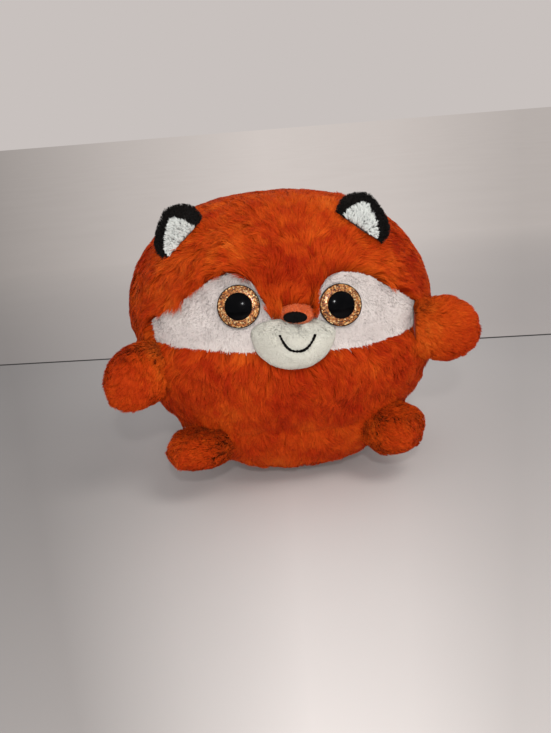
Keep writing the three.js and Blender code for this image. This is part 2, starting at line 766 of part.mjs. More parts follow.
function addTail() {
  const frame = limbFrame(bodySeat(tail), headingVector(tail), rowUp);
  const parts = softLimbParts(tail, brush, frame);
  const tipStart = tail.length - tailTipLength;
  const reach = tail.length + cutOverrun;
  const tipSpace = (from) => toSolid(boxBetween(
    new THREE.Vector3(from, -reach, -reach),
    new THREE.Vector3(from + reach, reach, reach),
  ).applyMatrix4(frame.matrix));
  const cut = tipSpace(tipStart - seamGap / 2);
  addPiece('tail_side_left', parts.front.subtract(cut), plush.orange);
  addPiece('tail_side_right', parts.back.subtract(cut), plush.orange);
  const shell = toSolid(limbForm(tail, brush, 0).applyMatrix4(frame.matrix))
    .subtract(toSolid(limbForm(tail, brush, limbSkin).applyMatrix4(frame.matrix)));
  addPiece('tail_tip', shell.intersect(tipSpace(tipStart + seamGap / 2)), plush.white);
  addPiece('tail_stuffing', parts.filling, otherMaterials.stuffing);
  noteFold('tail', frame, tail.foldDegrees);
}

addBodyPanels();
addFilling();
addMuzzle();
addEyes();
addEars();
addArms();
addFeet();
addTail();

// The origin is under the middle of the whole toy, on the surface that it rests on
const extent = new THREE.Box3().setFromObject(fox);
const middle = extent.getCenter(new THREE.Vector3());
fox.position.set(-middle.x, -middle.y, -extent.min.z);

export default fox;
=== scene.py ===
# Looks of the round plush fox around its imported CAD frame. Every length named here is in
# millimetres in the ball's own frame, and place() turns it into the row's metres.
import math

import bmesh
import bpy
import numpy as np
from mathutils import Matrix, Vector
from mathutils.kdtree import KDTree


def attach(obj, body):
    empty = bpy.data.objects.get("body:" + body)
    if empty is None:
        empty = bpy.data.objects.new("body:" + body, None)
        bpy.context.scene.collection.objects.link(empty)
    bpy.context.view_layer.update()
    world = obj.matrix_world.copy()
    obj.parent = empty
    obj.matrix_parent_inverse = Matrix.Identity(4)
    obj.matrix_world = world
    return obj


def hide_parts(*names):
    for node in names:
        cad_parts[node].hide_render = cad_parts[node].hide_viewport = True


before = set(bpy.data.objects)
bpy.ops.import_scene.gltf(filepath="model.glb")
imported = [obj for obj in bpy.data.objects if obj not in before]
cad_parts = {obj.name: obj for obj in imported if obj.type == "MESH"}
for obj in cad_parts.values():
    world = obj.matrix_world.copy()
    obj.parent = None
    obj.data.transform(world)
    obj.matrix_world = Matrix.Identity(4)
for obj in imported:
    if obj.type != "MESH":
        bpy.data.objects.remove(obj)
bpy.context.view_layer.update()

MILLIMETRE = 0.001
ROW_SHIFT = np.array([-0.125, -5.535, 0.0])
FULL_TURN = 2 * math.pi
UP = np.array([0.0, 0.0, 1.0])

# The ball and its limbs, as in the CAD source
HALF_WIDTH, FRONT_DEPTH, BACK_DEPTH = 90.0, 76.0, 74.0
CROWN_RISE, BALL_DROP, WIDEST = 83.0, 82.5, 82.0
PLAN_EXPONENT, CROWN_EXPONENT, SITTING_EXPONENT = 0.96, 0.84, 0.74
NECKLINE, NECK_DRAW, NECK_BAND = 88.0, 2.7, 9.0
HIP_TAPER, HIP_RUN, HIP_EXPONENT = 12.5, 40.0, 1.7
HEAD_LEAN, HEAD_LEAN_RUN = 3.0, 80.0
CHEEK_LINE, SIDE_SEAM = 94.0, -30.0
PATCHES = {
    "left": dict(side=-1, inner=14.0, reach=66.0, foot=91.6, rise=37.4, shares=[
        (0, 0), (0, .48), (.05, .62), (.08, .8), (.2, .97), (.35, .95),
        (.53, .77), (.69, .58), (.87, .37), (1, .11), (.84, .03), (.5, .01)]),
    "right": dict(side=1, inner=10.0, reach=63.0, foot=85.9, rise=38.1, shares=[
        (0, .1), (0, .57), (.01, .72), (.06, .84), (.14, .96), (.25, 1),
        (.38, .96), (.52, .86), (.67, .7), (.83, .5), (1, .27), (.95, .13),
        (.87, .05), (.7, .01), (.38, 0)]),
}
FACE_TILT = math.radians(4.5)
PAD_FLOOR = -66.0
MUZZLE = dict(centre=np.array([-2.4, PAD_FLOOR, 97.5]), half=22.2, depth=15.5, rise=8.8, drop=20.0)
SNOUT = dict(centre=np.array([-0.8, PAD_FLOOR, 107.6]), half=9.4, depth=13.0, rise=5.4, drop=4.9)
NOSE = dict(centre=np.array([-2.4, -77.7, 108.2]), half=6.1, depth=2.6, rise=2.8)
SMILE = dict(half=8.9, depth=8.2, top=99.8, x=-2.3, radius=0.65, curve=2.6)
EYES = {"left": (-28.8, 113.0, 5.0), "right": (22.7, 109.1, -10.0)}
EYE_RADIUS, PUPIL_RADIUS, EYE_INSET = 11.0, 7.0, 6.0
SOFT_LIMB = dict(swell=.5, root=.72, tip=.5, section=.85)
PAW = dict(swell=.5, root=.8, tip=.38, section=.75)
EAR_BLADE = dict(swell=.3, root=.94, tip=.93, section=.8)
BRUSH = dict(swell=.5, root=.5, tip=.72, section=1.0)
EAR_SIZE = dict(length=16.8, root=6.0, span=16.1, thick=4.2)
EAR_RIM, LINING_REACH = 4.6, 1.9
LIMBS = {
    "arm_left": dict(azimuth=-61, latitude=-1.65, heading=-67, rising=0, length=27, root=9,
                     span=18.5, thick=12, bend=-5, shape=SOFT_LIMB),
    "arm_right": dict(azimuth=56, latitude=1.2, heading=79, rising=0, length=31, root=9,
                      span=18.5, thick=12, bend=1.5, shape=SOFT_LIMB),
    "foot_left": dict(azimuth=-47, latitude=-31.5, heading=-61, rising=-3, length=26, root=15,
                      span=18, thick=10.5, bend=0, shape=PAW),
    "foot_right": dict(azimuth=41.5, latitude=-31, heading=40, rising=-4, length=23, root=15,
                       span=17, thick=14.5, bend=0, shape=PAW),
    "tail": dict(azimuth=180, latitude=-21, heading=180, rising=34, length=46, root=12,
                 span=15, thick=14, bend=9, shape=BRUSH),
}
EARS = {"left": dict(azimuth=-51.5, latitude=47.5, lean=-43, turn=8, bend=5, shift=-1.6),
        "right": dict(azimuth=38.3, latitude=46.4, lean=38, turn=28, bend=-5, shift=1.6)}
TAIL_TIP_START = 30.0
LIMB_CLEARANCE = 0.8

# How deep each cloth lies below the tips of its pile
LONG_CLOTH_INSET, BACK_CLOTH_INSET = 5.2, 3.3
SUNK_CLOTH_INSET, REST_CLOTH_INSET = 8.9, 3.4
PATCH_CLOTH_INSET, LIMB_CLOTH_INSET, EAR_CLOTH_INSET = 7.6, 4.4, 1.9
MUZZLE_CLOTH_INSET, SNOUT_CLOTH_INSET = 1.7, 1.3

# A strand of pile: its points from root to tip, its width there, and its shade in its map
KNOTS = np.array([0.0, 0.35, 0.7, 1.0])
TAPER = np.array([1.0, 0.95, 0.7])
PALEST, DARKEST, TONE_HALF_WIDTH = .96, .04, 0.004
STRANDS_IN_TUFT = 170
FLOOR_CLEARANCE = 0.12

# Strands per square millimetre; how far and how unevenly strands are drawn into clumps
BALL_DENSITY, BACK_SHARE, PATCH_DENSITY = 4.8, .58, 15
MUZZLE_DENSITY, SNOUT_DENSITY, LIMB_DENSITY, EAR_DENSITY = 18.0, 11.0, 9.6, 8.5
BALL_PILE = dict(clump=34, clump_turn=.2, clump_size=.16)
LIMB_PILE = dict(clump=60, pull=.2, clump_turn=.2)
SHORT_PILE = dict(clump=5, pull=.25, unrest=.3, curl=.2, clump_turn=.2, clump_tone=.05)
SNOUT_PILE = dict(clump=6, pull=.4, unrest=.35, curl=.15, clump_turn=.35)
EAR_PILE = dict(clump=6, pull=.4, unrest=.35, curl=.2, clump_turn=.35)
LINING_PILE = dict(clump=9, pull=.6, unrest=.25, clump_turn=.3, clump_size=.2)


def place(points):
    return (np.asarray(points, float) + ROW_SHIFT) * MILLIMETRE


def join(*parts):
    """Values side by side along a new last axis."""
    return np.stack(np.broadcast_arrays(*parts), -1)


def spow(value, exponent):
    return np.sign(value) * np.abs(value) ** exponent


def dot(a, b):
    return (a * b).sum(-1, keepdims=True)


def unit(vectors):
    length = np.linalg.norm(vectors, axis=-1, keepdims=True)
    return vectors / np.maximum(length, 1e-9)


def mixed(a, b, share):
    return a * (1 - share) + b * share


def smooth(low, high, value):
    share = np.clip((value - low) / (high - low), 0, 1)
    return share * share * (3 - 2 * share)


def bell(*offsets):
    """1 where all offsets are nothing, falling off smoothly over about 1."""
    return np.exp(-sum(offset ** 2 for offset in offsets))


def circle(around):
    return np.arange(around) / around * FULL_TURN


def waves(seed, wavelength, count=12):
    """A smooth wandering value of about unit spread over space."""
    rng = np.random.default_rng(seed)
    k = unit(rng.normal(size=(count, 3))) * (FULL_TURN / wavelength)
    k = k * rng.uniform(.65, 1.5, (count, 1))
    phase = rng.uniform(0, FULL_TURN, count)
    return lambda p: np.sin(p @ k.T + phase).sum(-1) / math.sqrt(count / 2)


lumps = waves(11, 46.0)
swirl = waves(21, 34.0)
ripple = waves(22, 13.0)
deepness = waves(23, 40.0)


def slopes(surface, a, b, step):
    """The cross product of a surface's slopes along its two parameters."""
    across = surface(a + step, b) - surface(a - step, b)
    along = surface(a, b + step) - surface(a, b - step)
    return np.cross(across, along)


# Forms


def narrowing(z, inset):
    """How much the ball draws in at its neckline and towards its sole."""
    draw = NECK_DRAW * bell((z - NECKLINE) / NECK_BAND)
    below = np.clip((WIDEST - z) / HIP_RUN, 0, 1)
    return inset + draw + HIP_TAPER * below ** HIP_EXPONENT


def lean_at(z):
    return -HEAD_LEAN * (z - NECKLINE) / HEAD_LEAN_RUN


def half_of(above, inset):
    """The exponent and the height of the ball's upper or lower half."""
    return (np.where(above, CROWN_EXPONENT, SITTING_EXPONENT),
            np.where(above, CROWN_RISE, BALL_DROP) - inset)


def ball_at(azimuth, elevation, inset):
    """Points of the ball; elevation is the angle at which its profile is seen."""
    exponent, _ = half_of(elevation > 0, inset)
    rising = np.tan(np.minimum(np.abs(elevation), 1.57079))
    latitude = np.arctan(rising ** (1 / exponent)) * np.sign(elevation)
    return ball_from(azimuth, latitude, inset)


def ball_from(azimuth, latitude, inset):
    exponent, rise = half_of(latitude > 0, inset)
    ring = spow(np.cos(latitude), exponent)
    z = WIDEST + spow(np.sin(latitude), exponent) * rise
    narrowed = narrowing(z, inset)
    depth = np.where(np.cos(azimuth) > 0, FRONT_DEPTH, BACK_DEPTH) - narrowed
    x = (HALF_WIDTH - narrowed) * ring * spow(np.sin(azimuth), PLAN_EXPONENT) + lean_at(z)
    return join(x, -depth * ring * spow(np.cos(azimuth), PLAN_EXPONENT), z)


def front_at(x, z, inset):
    """The ball's front surface behind a place on the face."""
    exponent, rise = half_of(z > WIDEST, inset)
    level = np.clip(np.abs(z - WIDEST) / rise, 0, 1)
    ring = (1 - level ** (2 / exponent)) ** (exponent / 2)
    narrowed = narrowing(z, inset)
    half = (HALF_WIDTH - narrowed) * np.maximum(ring, 1e-6)
    across = np.clip(np.abs(x - lean_at(z)) / half, 0, 1)
    forward = (1 - across ** (2 / PLAN_EXPONENT)) ** (PLAN_EXPONENT / 2)
    return join(x, -(FRONT_DEPTH - narrowed) * ring * forward, z)


def front_normal(x, z, inset, step=.2):
    return unit(slopes(lambda a, b: front_at(a, b, inset), x, z, step))


def behind(points):
    """0 on the front of the ball, 1 on its back."""
    return smooth(-30, 10, points[..., 1])


def on_face(points):
    """1 on the face, 0 beside and behind it."""
    return smooth(-18, -32, points[..., 1])


def cloth_inset(azimuth, elevation):
    """How deep the cloth of the ball lies below the tips of its long pile."""
    probe = ball_at(azimuth, elevation, LONG_CLOTH_INSET)
    rear = behind(probe)
    inset = mixed(LONG_CLOTH_INSET, BACK_CLOTH_INSET, rear)
    inset += (.45 - .25 * rear) * lumps(probe)
    inset = mixed(inset, REST_CLOTH_INSET, smooth(-.95, -1.3, elevation))
    return mixed(inset, SUNK_CLOTH_INSET, smooth(9, 1, patch_gap(probe)) * on_face(probe))


def ball_cloth(azimuth, elevation):
    return ball_at(azimuth, elevation, cloth_inset(azimuth, elevation))


def limb_at(size, shape, inset, share, angle):
    """A limb's surface in its own frame: X to the tip, Y through it, Z along its fold line."""
    start = inset - size["root"]
    run = size["length"] - inset - start
    past = np.clip((share - shape["swell"]) / (1 - shape["swell"]), 0, 1)
    before = np.minimum(1, share / shape["swell"])
    swell = shape["root"] + (1 - shape["root"]) * np.sin(math.pi / 2 * before)
    section = swell * (1 - past * past) ** shape["tip"]
    across = (size["thick"] - inset) * section * spow(np.cos(angle), shape["section"])
    middle = size["bend"] * share * share
    up = middle + (size["span"] - inset) * section * spow(np.sin(angle), shape["section"])
    return join(start + run * share, across, up)


def limb_frame(azimuth, latitude, along, span):
    """The origin of a limb on the ball and the columns of its own axes."""
    azimuth, latitude = math.radians(azimuth), math.radians(latitude)

    def seat(a, b):
        return ball_from(a, b, 0)

    outward = unit(slopes(seat, azimuth, latitude, math.radians(1)))
    along = unit(along)
    axis = unit(span - along * np.dot(span, along))
    columns = np.stack([along, np.cross(axis, along), axis], 1)
    return seat(azimuth, latitude) + outward * LIMB_CLEARANCE, columns


def frame_of_limb(name):
    limb = LIMBS[name]
    heading, rising = math.radians(limb["heading"]), math.radians(limb["rising"])
    level = math.cos(rising)
    along = np.array([math.sin(heading) * level, -math.cos(heading) * level, math.sin(rising)])
    spans = {"arm_left": UP, "arm_right": -UP, "tail": UP}
    span = spans[name] if name in spans else np.cross(along, UP)
    return limb_frame(limb["azimuth"], limb["latitude"], along, span)


def frame_of_ear(side):
    ear = EARS[side]
    lean, turned_by = math.radians(ear["lean"]), math.radians(ear["turn"])
    along = np.array([math.sin(lean), 0, math.cos(lean)])
    span = np.array([math.cos(lean), -math.sin(turned_by), -math.sin(lean)])
    return limb_frame(ear["azimuth"], ear["latitude"], along, span)


def tilted(local, angle=FACE_TILT):
    c, s = math.cos(angle), math.sin(angle)
    x, y, z = np.moveaxis(local, -1, 0)
    return join(x * c + z * s, y, z * c - x * s)


def pad_at(pad, grow, azimuth, latitude):
    ring, up = np.cos(latitude), np.sin(latitude)
    x = (pad["half"] + grow) * ring * np.sin(azimuth)
    y = -(pad["depth"] + grow) * ring * np.cos(azimuth)
    z = up * (np.where(up > 0, pad["rise"], pad["drop"]) + grow)
    return tilted(join(x, y, z)) + pad["centre"]


def inside_pad(pad, points, grow):
    """True where a point lies in the pad's outline, seen from the front."""
    x, _, z = np.moveaxis(tilted(points - pad["centre"], -FACE_TILT), -1, 0)
    high = np.where(z > 0, pad["rise"], pad["drop"]) + grow
    return (x / (pad["half"] + grow)) ** 2 + (z / high) ** 2 < 1


def patch_outline(side, steps=8):
    """An eye patch's edge: a closed Catmull-Rom curve through its points on the face."""
    patch = PATCHES[side]
    p = np.array([(patch["side"] * (patch["inner"] + across * patch["reach"]),
                   patch["foot"] + up * patch["rise"]) for across, up in patch["shares"]])
    before, after, last = np.roll(p, 1, 0), np.roll(p, -1, 0), np.roll(p, -2, 0)
    made = []
    for t in np.arange(steps) / steps:
        made.append(.5 * (2 * p + (after - before) * t
                          + (2 * before - 5 * p + 4 * after - last) * t * t
                          + (3 * p - 3 * after + last - before) * t ** 3))
    return np.stack(made, 1).reshape(-1, 2)


def in_outline(outline, x, z):
    inside = np.zeros(np.shape(x), bool)
    for (x0, z0), (x1, z1) in zip(outline, np.roll(outline, -1, 0)):
        crosses = (z0 > z) != (z1 > z)
        inside ^= crosses & (x < (x1 - x0) * (z - z0) / (z1 - z0 + 1e-12) + x0)
    return inside


def outline_distance(outline, x, z):
    """The distance to an outline, and the place on it that is nearest."""
    a, b = outline, np.roll(outline, -1, 0)
    p = np.stack([x, z], -1)[:, None]
    d = b - a
    t = np.clip(((p - a) * d).sum(-1) / (d * d).sum(-1), 0, 1)
    near = a + d * t[..., None]
    gap = np.linalg.norm(p - near, axis=-1)
    best = gap.argmin(1)
    rows = np.arange(len(best))
    return gap[rows, best], near[rows, best]


# Meshes


def linked(name, data):
    made = bpy.data.objects.new(name, data)
    bpy.context.scene.collection.objects.link(made)
    return made


def build(name, points, quads, triangles=(), uvs=None):
    """A mesh object from points in the ball's frame, placed in the row's metres."""
    quads = np.asarray(quads, np.int32).reshape(-1, 4)
    triangles = np.asarray(triangles, np.int32).reshape(-1, 3)
    loops = np.concatenate([quads.ravel(), triangles.ravel()])
    starts = np.concatenate([np.arange(len(quads)) * 4,
                             len(quads) * 4 + np.arange(len(triangles)) * 3])
    mesh = bpy.data.meshes.new(name)
    mesh.vertices.add(len(points))
    mesh.vertices.foreach_set("co", place(points).astype(np.float32).ravel())
    mesh.loops.add(len(loops))
    mesh.loops.foreach_set("vertex_index", loops)
    mesh.polygons.add(len(starts))
    mesh.polygons.foreach_set("loop_start", starts.astype(np.int32))
    if uvs is not None:
        layer = mesh.uv_layers.new(name="OFBake")
        layer.data.foreach_set("uv", np.asarray(uvs, np.float32)[loops].ravel())
    mesh.update(calc_edges=True)
    mesh.polygons.foreach_set("use_smooth", np.full(len(starts), True))
    mesh.validate()
    return linked(name, mesh)


def tube_faces(rings, around):
    """Quads between neighbouring rings of points."""
    i = np.arange(rings - 1)[:, None] * around
    j = np.arange(around)[None]
    k = (j + 1) % around
    return join(i + j, i + k, i + around + k, i + around + j).reshape(-1, 4)


def closed_faces(rings, around):
    """Quads and end caps over rings of points that two poles follow."""
    j = np.arange(around)
    k = (j + 1) % around
    pole, top = rings * around, (rings - 1) * around
    caps = np.concatenate([join(pole, k, j), join(pole + 1, top + j, top + k)])
    return tube_faces(rings, around), caps


def closed_form(name, grid, low, high):
    """A closed skin from rings of points between two poles."""
    points = np.concatenate([grid.reshape(-1, 3), [low], [high]])
    return build(name, points, *closed_faces(*grid.shape[:2]))


def outward_shells(made):
    bm = bmesh.new()
    bm.from_mesh(made.data)
    bmesh.ops.recalc_face_normals(bm, faces=bm.faces)
    bm.to_mesh(made.data)
    bm.free()
    return made


def thicken(made, thickness):
    """Gives a sheet its thickness, inwards."""
    solid = made.modifiers.new("cloth", "SOLIDIFY")
    solid.thickness = thickness * MILLIMETRE
    solid.offset = -1
    graph = bpy.context.evaluated_depsgraph_get()
    mesh = bpy.data.meshes.new_from_object(made.evaluated_get(graph))
    made.modifiers.clear()
    made.data = mesh


def dress(made, material, body, slot, replaced=()):
    made.data.materials.clear()
    made.data.materials.append(material)
    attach(made, body)
    if replaced:
        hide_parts(*replaced)


# Pile

SHARE_STEP = 1e-4


def share_slopes(surface, shares):
    a, b = np.clip(shares, SHARE_STEP, 1 - SHARE_STEP).T
    return slopes(surface, a, b, SHARE_STEP)


def element(surface, shares):
    return np.linalg.norm(share_slopes(surface, shares), axis=1) / (2 * SHARE_STEP) ** 2


def quasi(count, seed):
    """Evenly scattered pairs of shares."""
    golden = 1.32471795724474602596
    n = np.arange(1, count + 1)
    offset = np.random.default_rng(seed).uniform(0, 1, 2)
    return (n[:, None] * np.array([1 / golden, 1 / golden ** 2]) + offset) % 1.0


def spread(surface, per_area, seed):
    """Shares of a surface's two parameters at an even density over its area."""
    largest = element(surface, quasi(4000, 5)).max() * 1.02
    count = int(per_area * largest)
    found = quasi(count, seed)
    keep = element(surface, found) / largest
    chance = np.random.default_rng(seed + 1).uniform(0, 1, count)
    return found[chance < keep]


def sown(surface, per_area, seed):
    """Roots at an even density over a surface, and its normals there."""
    found = spread(surface, per_area, seed)
    return surface(*found.T), unit(share_slopes(surface, found))


def tangent(vectors, normals):
    return unit(vectors - normals * dot(vectors, normals))


def turn(flow, normals, angle):
    side = np.cross(normals, flow)
    return flow * np.cos(angle)[:, None] + side * np.sin(angle)[:, None]


def nearest(points, centres):
    tree = KDTree(len(centres))
    for index, centre in enumerate(centres):
        tree.insert(centre, index)
    tree.balance()
    return np.array([tree.find(point)[1] for point in points], int)


def pile(name, root, normal, flow, height, reach, width, tone, seed,
         clump=12, pull=.6, unrest=.12, curl=.35, clump_turn=.22, clump_size=.12,
         clump_tone=.06, avoid=None, tuft=None):
    """Tapered ribbons of pile, drawn together in clumps, with their shade in their own map."""
    rng = np.random.default_rng(seed)
    count = len(root)
    centres = rng.choice(count, max(3, count // clump), replace=False)
    group = nearest(root, root[centres])

    def vary(middle, by_clump, by_strand):
        return (middle + rng.normal(0, by_clump, len(centres))[group]
                + rng.normal(0, by_strand, count))

    flow = turn(flow, normal, vary(0, clump_turn, unrest))
    reach = reach * np.clip(vary(1, clump_size, .07), .55, 1.35)
    height = height * np.clip(vary(.97, .08, .06), .6, 1.06)
    tone = np.clip(vary(tone, clump_tone, .06), DARKEST, PALEST)
    side = np.cross(flow, normal)
    phase = rng.uniform(0, FULL_TURN, count)
    pull, width = np.broadcast_to(pull, (count,)), np.broadcast_to(width, (count,))
    drawn = root[centres][group] - root
    drawn -= flow * dot(drawn, flow)
    if tuft is not None:
        heads = rng.choice(count, max(3, count // STRANDS_IN_TUFT), replace=False)
        lock = nearest(root, root[heads])
        gather = root[heads][lock] - root
        drawn += (gather - flow * dot(gather, flow)) * tuft[:, None]
        height = height * (1 + rng.normal(0, .2, len(heads))[lock] * np.minimum(tuft, .5) * 2)
    line = np.zeros((count, len(KNOTS), 3))
    for j, s in enumerate(KNOTS):
        up = height * (1 - (1 - s) ** 2.2)
        out = reach * s ** 1.35
        sway = curl * np.sin(phase + 4.4 * s) * s
        line[:, j] = (root + normal * up[:, None] + flow * out[:, None]
                      + side * sway[:, None] + drawn * (pull * s ** 1.3)[:, None])
    if avoid is not None:
        keep = avoid(line)
        normal, line, tone, width = normal[keep], line[keep], tone[keep], width[keep]
        count = len(line)
    tone[0], tone[-1] = DARKEST, PALEST
    low = line[..., 2]
    line[..., 2] = np.where(low < 1.5, FLOOR_CLEARANCE + np.maximum(low, 0) * .9, low)
    along = np.gradient(line, axis=1)
    roll = rng.normal(0, .55, count)[:, None, None]
    across = unit(np.cross(along, normal[:, None]))
    across = unit(across * np.cos(roll) + normal[:, None] * np.sin(roll))
    offset = across[:, :3] * (.5 * width[:, None, None] * TAPER[None, :, None])
    sides = np.stack([line[:, :3] - offset, line[:, :3] + offset], 2).reshape(count, 6, 3)
    points = np.concatenate([sides, line[:, 3:]], 1)
    points[..., 2] = np.maximum(points[..., 2], 0)
    v = np.repeat(.02 + .96 * KNOTS[:3], 2)
    u = tone[:, None] + np.tile([-TONE_HALF_WIDTH, TONE_HALF_WIDTH], 3)
    uvs = np.concatenate([np.stack([u, np.broadcast_to(v, u.shape)], -1),
                          np.stack([tone, np.full(count, .98)], -1)[:, None]], 1)
    base = (np.arange(count) * 7)[:, None, None]
    quads = base + np.array([[0, 1, 3, 2], [2, 3, 5, 4]])
    tips = base + np.array([[4, 5, 6]])
    return build(name, points.reshape(-1, 3), quads, tips, uvs.reshape(-1, 2))


def grow(name, material, body, slot, node, *stand, **habits):
    """Pile that stands for one piece of the CAD, with its looks."""
    dress(pile("pile_" + name, *stand, **habits), material, body, slot, [node])


# Materials


def as_colour(value):
    """A node colour from one grey level, or from red, green and blue out of 255."""
    def linear(level):
        level /= 255
        return level / 12.92 if level <= .04045 else ((level + .055) / 1.055) ** 2.4
    if isinstance(value, (int, float)):
        return (value, value, value, 1.0)
    return tuple(linear(level) for level in value) + (1.0,)


class Nodes:
    """Short ways to add and join the nodes of one material."""

    def __init__(self, name):
        self.material = bpy.data.materials.new(name)
        self.material.use_nodes = True
        self.tree = self.material.node_tree
        self.shader = self.tree.nodes["Principled BSDF"]
        self.coordinates = None

    def add(self, kind, inputs=None, **settings):
        node = self.tree.nodes.new("ShaderNode" + kind)
        for key, value in settings.items():
            setattr(node, key, value)
        for key, value in (inputs or {}).items():
            self.feed(node, key, value)
        return node

    def feed(self, node, key, value):
        if isinstance(value, bpy.types.NodeSocket):
            self.tree.links.new(value, node.inputs[key])
        else:
            node.inputs[key].default_value = value

    def space(self):
        if self.coordinates is None:
            self.coordinates = self.add("TexCoord").outputs["Object"]
        return self.coordinates

    def noise(self, scale, detail, distortion=0.0):
        return self.add("TexNoise", {"Vector": self.space(), "Scale": scale, "Detail": detail,
                                     "Distortion": distortion}).outputs["Fac"]

    def wave(self, scale, direction, distortion, detail):
        return self.add("TexWave", {"Vector": self.space(), "Scale": scale, "Detail": detail,
                                    "Distortion": distortion},
                        bands_direction=direction).outputs["Fac"]

    def flakes(self, scale):
        cells = self.add("TexVoronoi", {"Vector": self.space(), "Scale": scale})
        return self.add("SeparateColor", {"Color": cells.outputs["Color"]}).outputs

    def math(self, operation, a, b):
        return self.add("Math", {0: a, 1: b}, operation=operation).outputs[0]

    def ramp(self, factor, *stops):
        node = self.add("ValToRGB", {"Fac": factor})
        elements = node.color_ramp.elements
        while len(elements) < len(stops):
            elements.new(.5)
        for stop, (position, shade) in zip(elements, stops):
            stop.position, stop.color = position, as_colour(shade)
        return node.outputs["Color"]

    def multiply(self, a, b):
        return self.add("Mix", {0: 1.0, 6: a, 7: b}, data_type="RGBA",
                        blend_type="MULTIPLY").outputs[2]

    def bump(self, height, strength, distance):
        return self.add("Bump", {"Height": height, "Strength": strength,
                                 "Distance": distance * MILLIMETRE}).outputs["Normal"]

    def finish(self, **inputs):
        for key, value in inputs.items():
            self.feed(self.shader, key.replace("_", " "), value)
        return self.material


def pile_material(name, shades, root_painted_shade, tip_painted_highlight, sheen=.15, sheen_tint=(1, 1, 1, 1)):
    """Pile toned across its map by strand; down its map, painted shade at the roots and a painted
    highlight at the tips.
    """
    nodes = Nodes(name)
    uv = nodes.add("UVMap", uv_map="OFBake").outputs["UV"]
    across, down = nodes.add("SeparateXYZ", {"Vector": uv}).outputs[:2]
    by_strand = nodes.ramp(across, *((i / (len(shades) - 1), s) for i, s in enumerate(shades)))
    # Painted shade darkens the strands towards their roots, deep in the pile; a painted highlight
    # lightens their tips.
    painted_depth_shade = nodes.ramp(down, (0, root_painted_shade), (.3, .5 + .5 * root_painted_shade), (.7, .98),
                          (1, tip_painted_highlight))
    return nodes.finish(Base_Color=nodes.multiply(by_strand, painted_depth_shade),
                        Roughness=nodes.ramp(down, (0, .95), (1, .62)), Specular_IOR_Level=.1,
                        Sheen_Weight=sheen, Sheen_Roughness=.45, Sheen_Tint=sheen_tint)


def cloth_material(name, colour, dark):
    """Knitted backing cloth: fine crossing ribs with uneven dye, and painted shade in the grooves
    between the ribs.
    """
    nodes = Nodes(name)
    knit = nodes.math("MULTIPLY", nodes.wave(300.0, "X", .8, 1.0), nodes.wave(375.0, "Z", .8, 1.0))
    dye = nodes.ramp(nodes.noise(60.0, 4.0), (.3, dark), (.7, colour))
    # The grooves of the knit are painted darker, as shade between the ribs.
    return nodes.finish(Base_Color=nodes.multiply(dye, nodes.ramp(knit, (0, .7), (1, 1.0))),
                        Roughness=nodes.ramp(knit, (0, .98), (1, .85)),
                        Normal=nodes.bump(knit, .5, .15),
                        Specular_IOR_Level=.15, Sheen_Weight=.2, Sheen_Roughness=.5)


def thread_material(name, colour, lighter):
    """Twisted embroidery thread with a slight lustre."""
    nodes = Nodes(name)
    twist = nodes.wave(900.0, "DIAGONAL", 1.5, 2.0)
    fuzz = nodes.noise(2200.0, 3.0)
    return nodes.finish(Base_Color=nodes.ramp(fuzz, (.3, colour), (.75, lighter)),
                        Roughness=nodes.ramp(twist, (0, .7), (1, .5)),
                        Normal=nodes.bump(twist, .5, .12), Specular_IOR_Level=.06)


def cloudy_material(name, noise, base, rough=None, raised=None, **looks):
    """One substance with a cloudy unevenness in its colour, its polish and its surface."""
    nodes = Nodes(name)
    cloud = nodes.noise(*noise)
    if rough:
        looks["Roughness"] = nodes.ramp(cloud, *rough)
    if raised:
        looks["Normal"] = nodes.bump(cloud, *raised)
    return nodes.finish(Base_Color=nodes.ramp(cloud, *base), **looks)


def glitter_material():
    """Copper and gold flakes set in clear plastic."""
    nodes = Nodes("eye_glitter_flakes")
    flakes, coarse = nodes.flakes(1500.0), nodes.flakes(850.0)
    base = nodes.ramp(flakes["Red"], (0, (70, 32, 14)), (.3, (138, 72, 32)),
                      (.55, (188, 108, 50)), (.78, (222, 150, 78)), (1, (252, 228, 170)))
    cover = nodes.ramp(coarse["Green"], (0, .55), (1, 1.0))
    return nodes.finish(Base_Color=nodes.multiply(base, cover),
                        Roughness=nodes.ramp(flakes["Green"], (0, .18), (1, .5)),
                        Normal=nodes.bump(flakes["Blue"], .9, .25),
                        Metallic=.4, Coat_Weight=.3, Coat_Roughness=.25)


def stage_nodes(name, colour):
    """A plain pale surface with a painted pool of light: painted shade darkens it to both sides,
    most to the left.
    """
    nodes = Nodes(name)
    darker = tuple(value - 3 for value in colour)
    base = nodes.ramp(nodes.noise(6.0, 5.0), (.3, darker), (.7, colour))
    x, y, _ = nodes.add("SeparateXYZ", {"Vector": nodes.space()}).outputs
    ahead = nodes.math("MAXIMUM", nodes.math("ADD", y, .46), .2)
    fan = nodes.math("DIVIDE", nodes.math("ADD", x, .05), ahead)
    share = nodes.add("MapRange", {"Value": fan, "From Min": -.3, "From Max": .6}).outputs[0]
    # Painted light and shade: brightest ahead of the toy, darker to both sides.
    painted_light_falloff = nodes.ramp(share, (.06, .5), (.25, .78), (.45, 1.0), (.63, .93), (.82, .74))
    base = nodes.multiply(base, painted_light_falloff)
    nodes.finish(Base_Color=base, Roughness=.75, Specular_IOR_Level=.2)
    return nodes, base, y


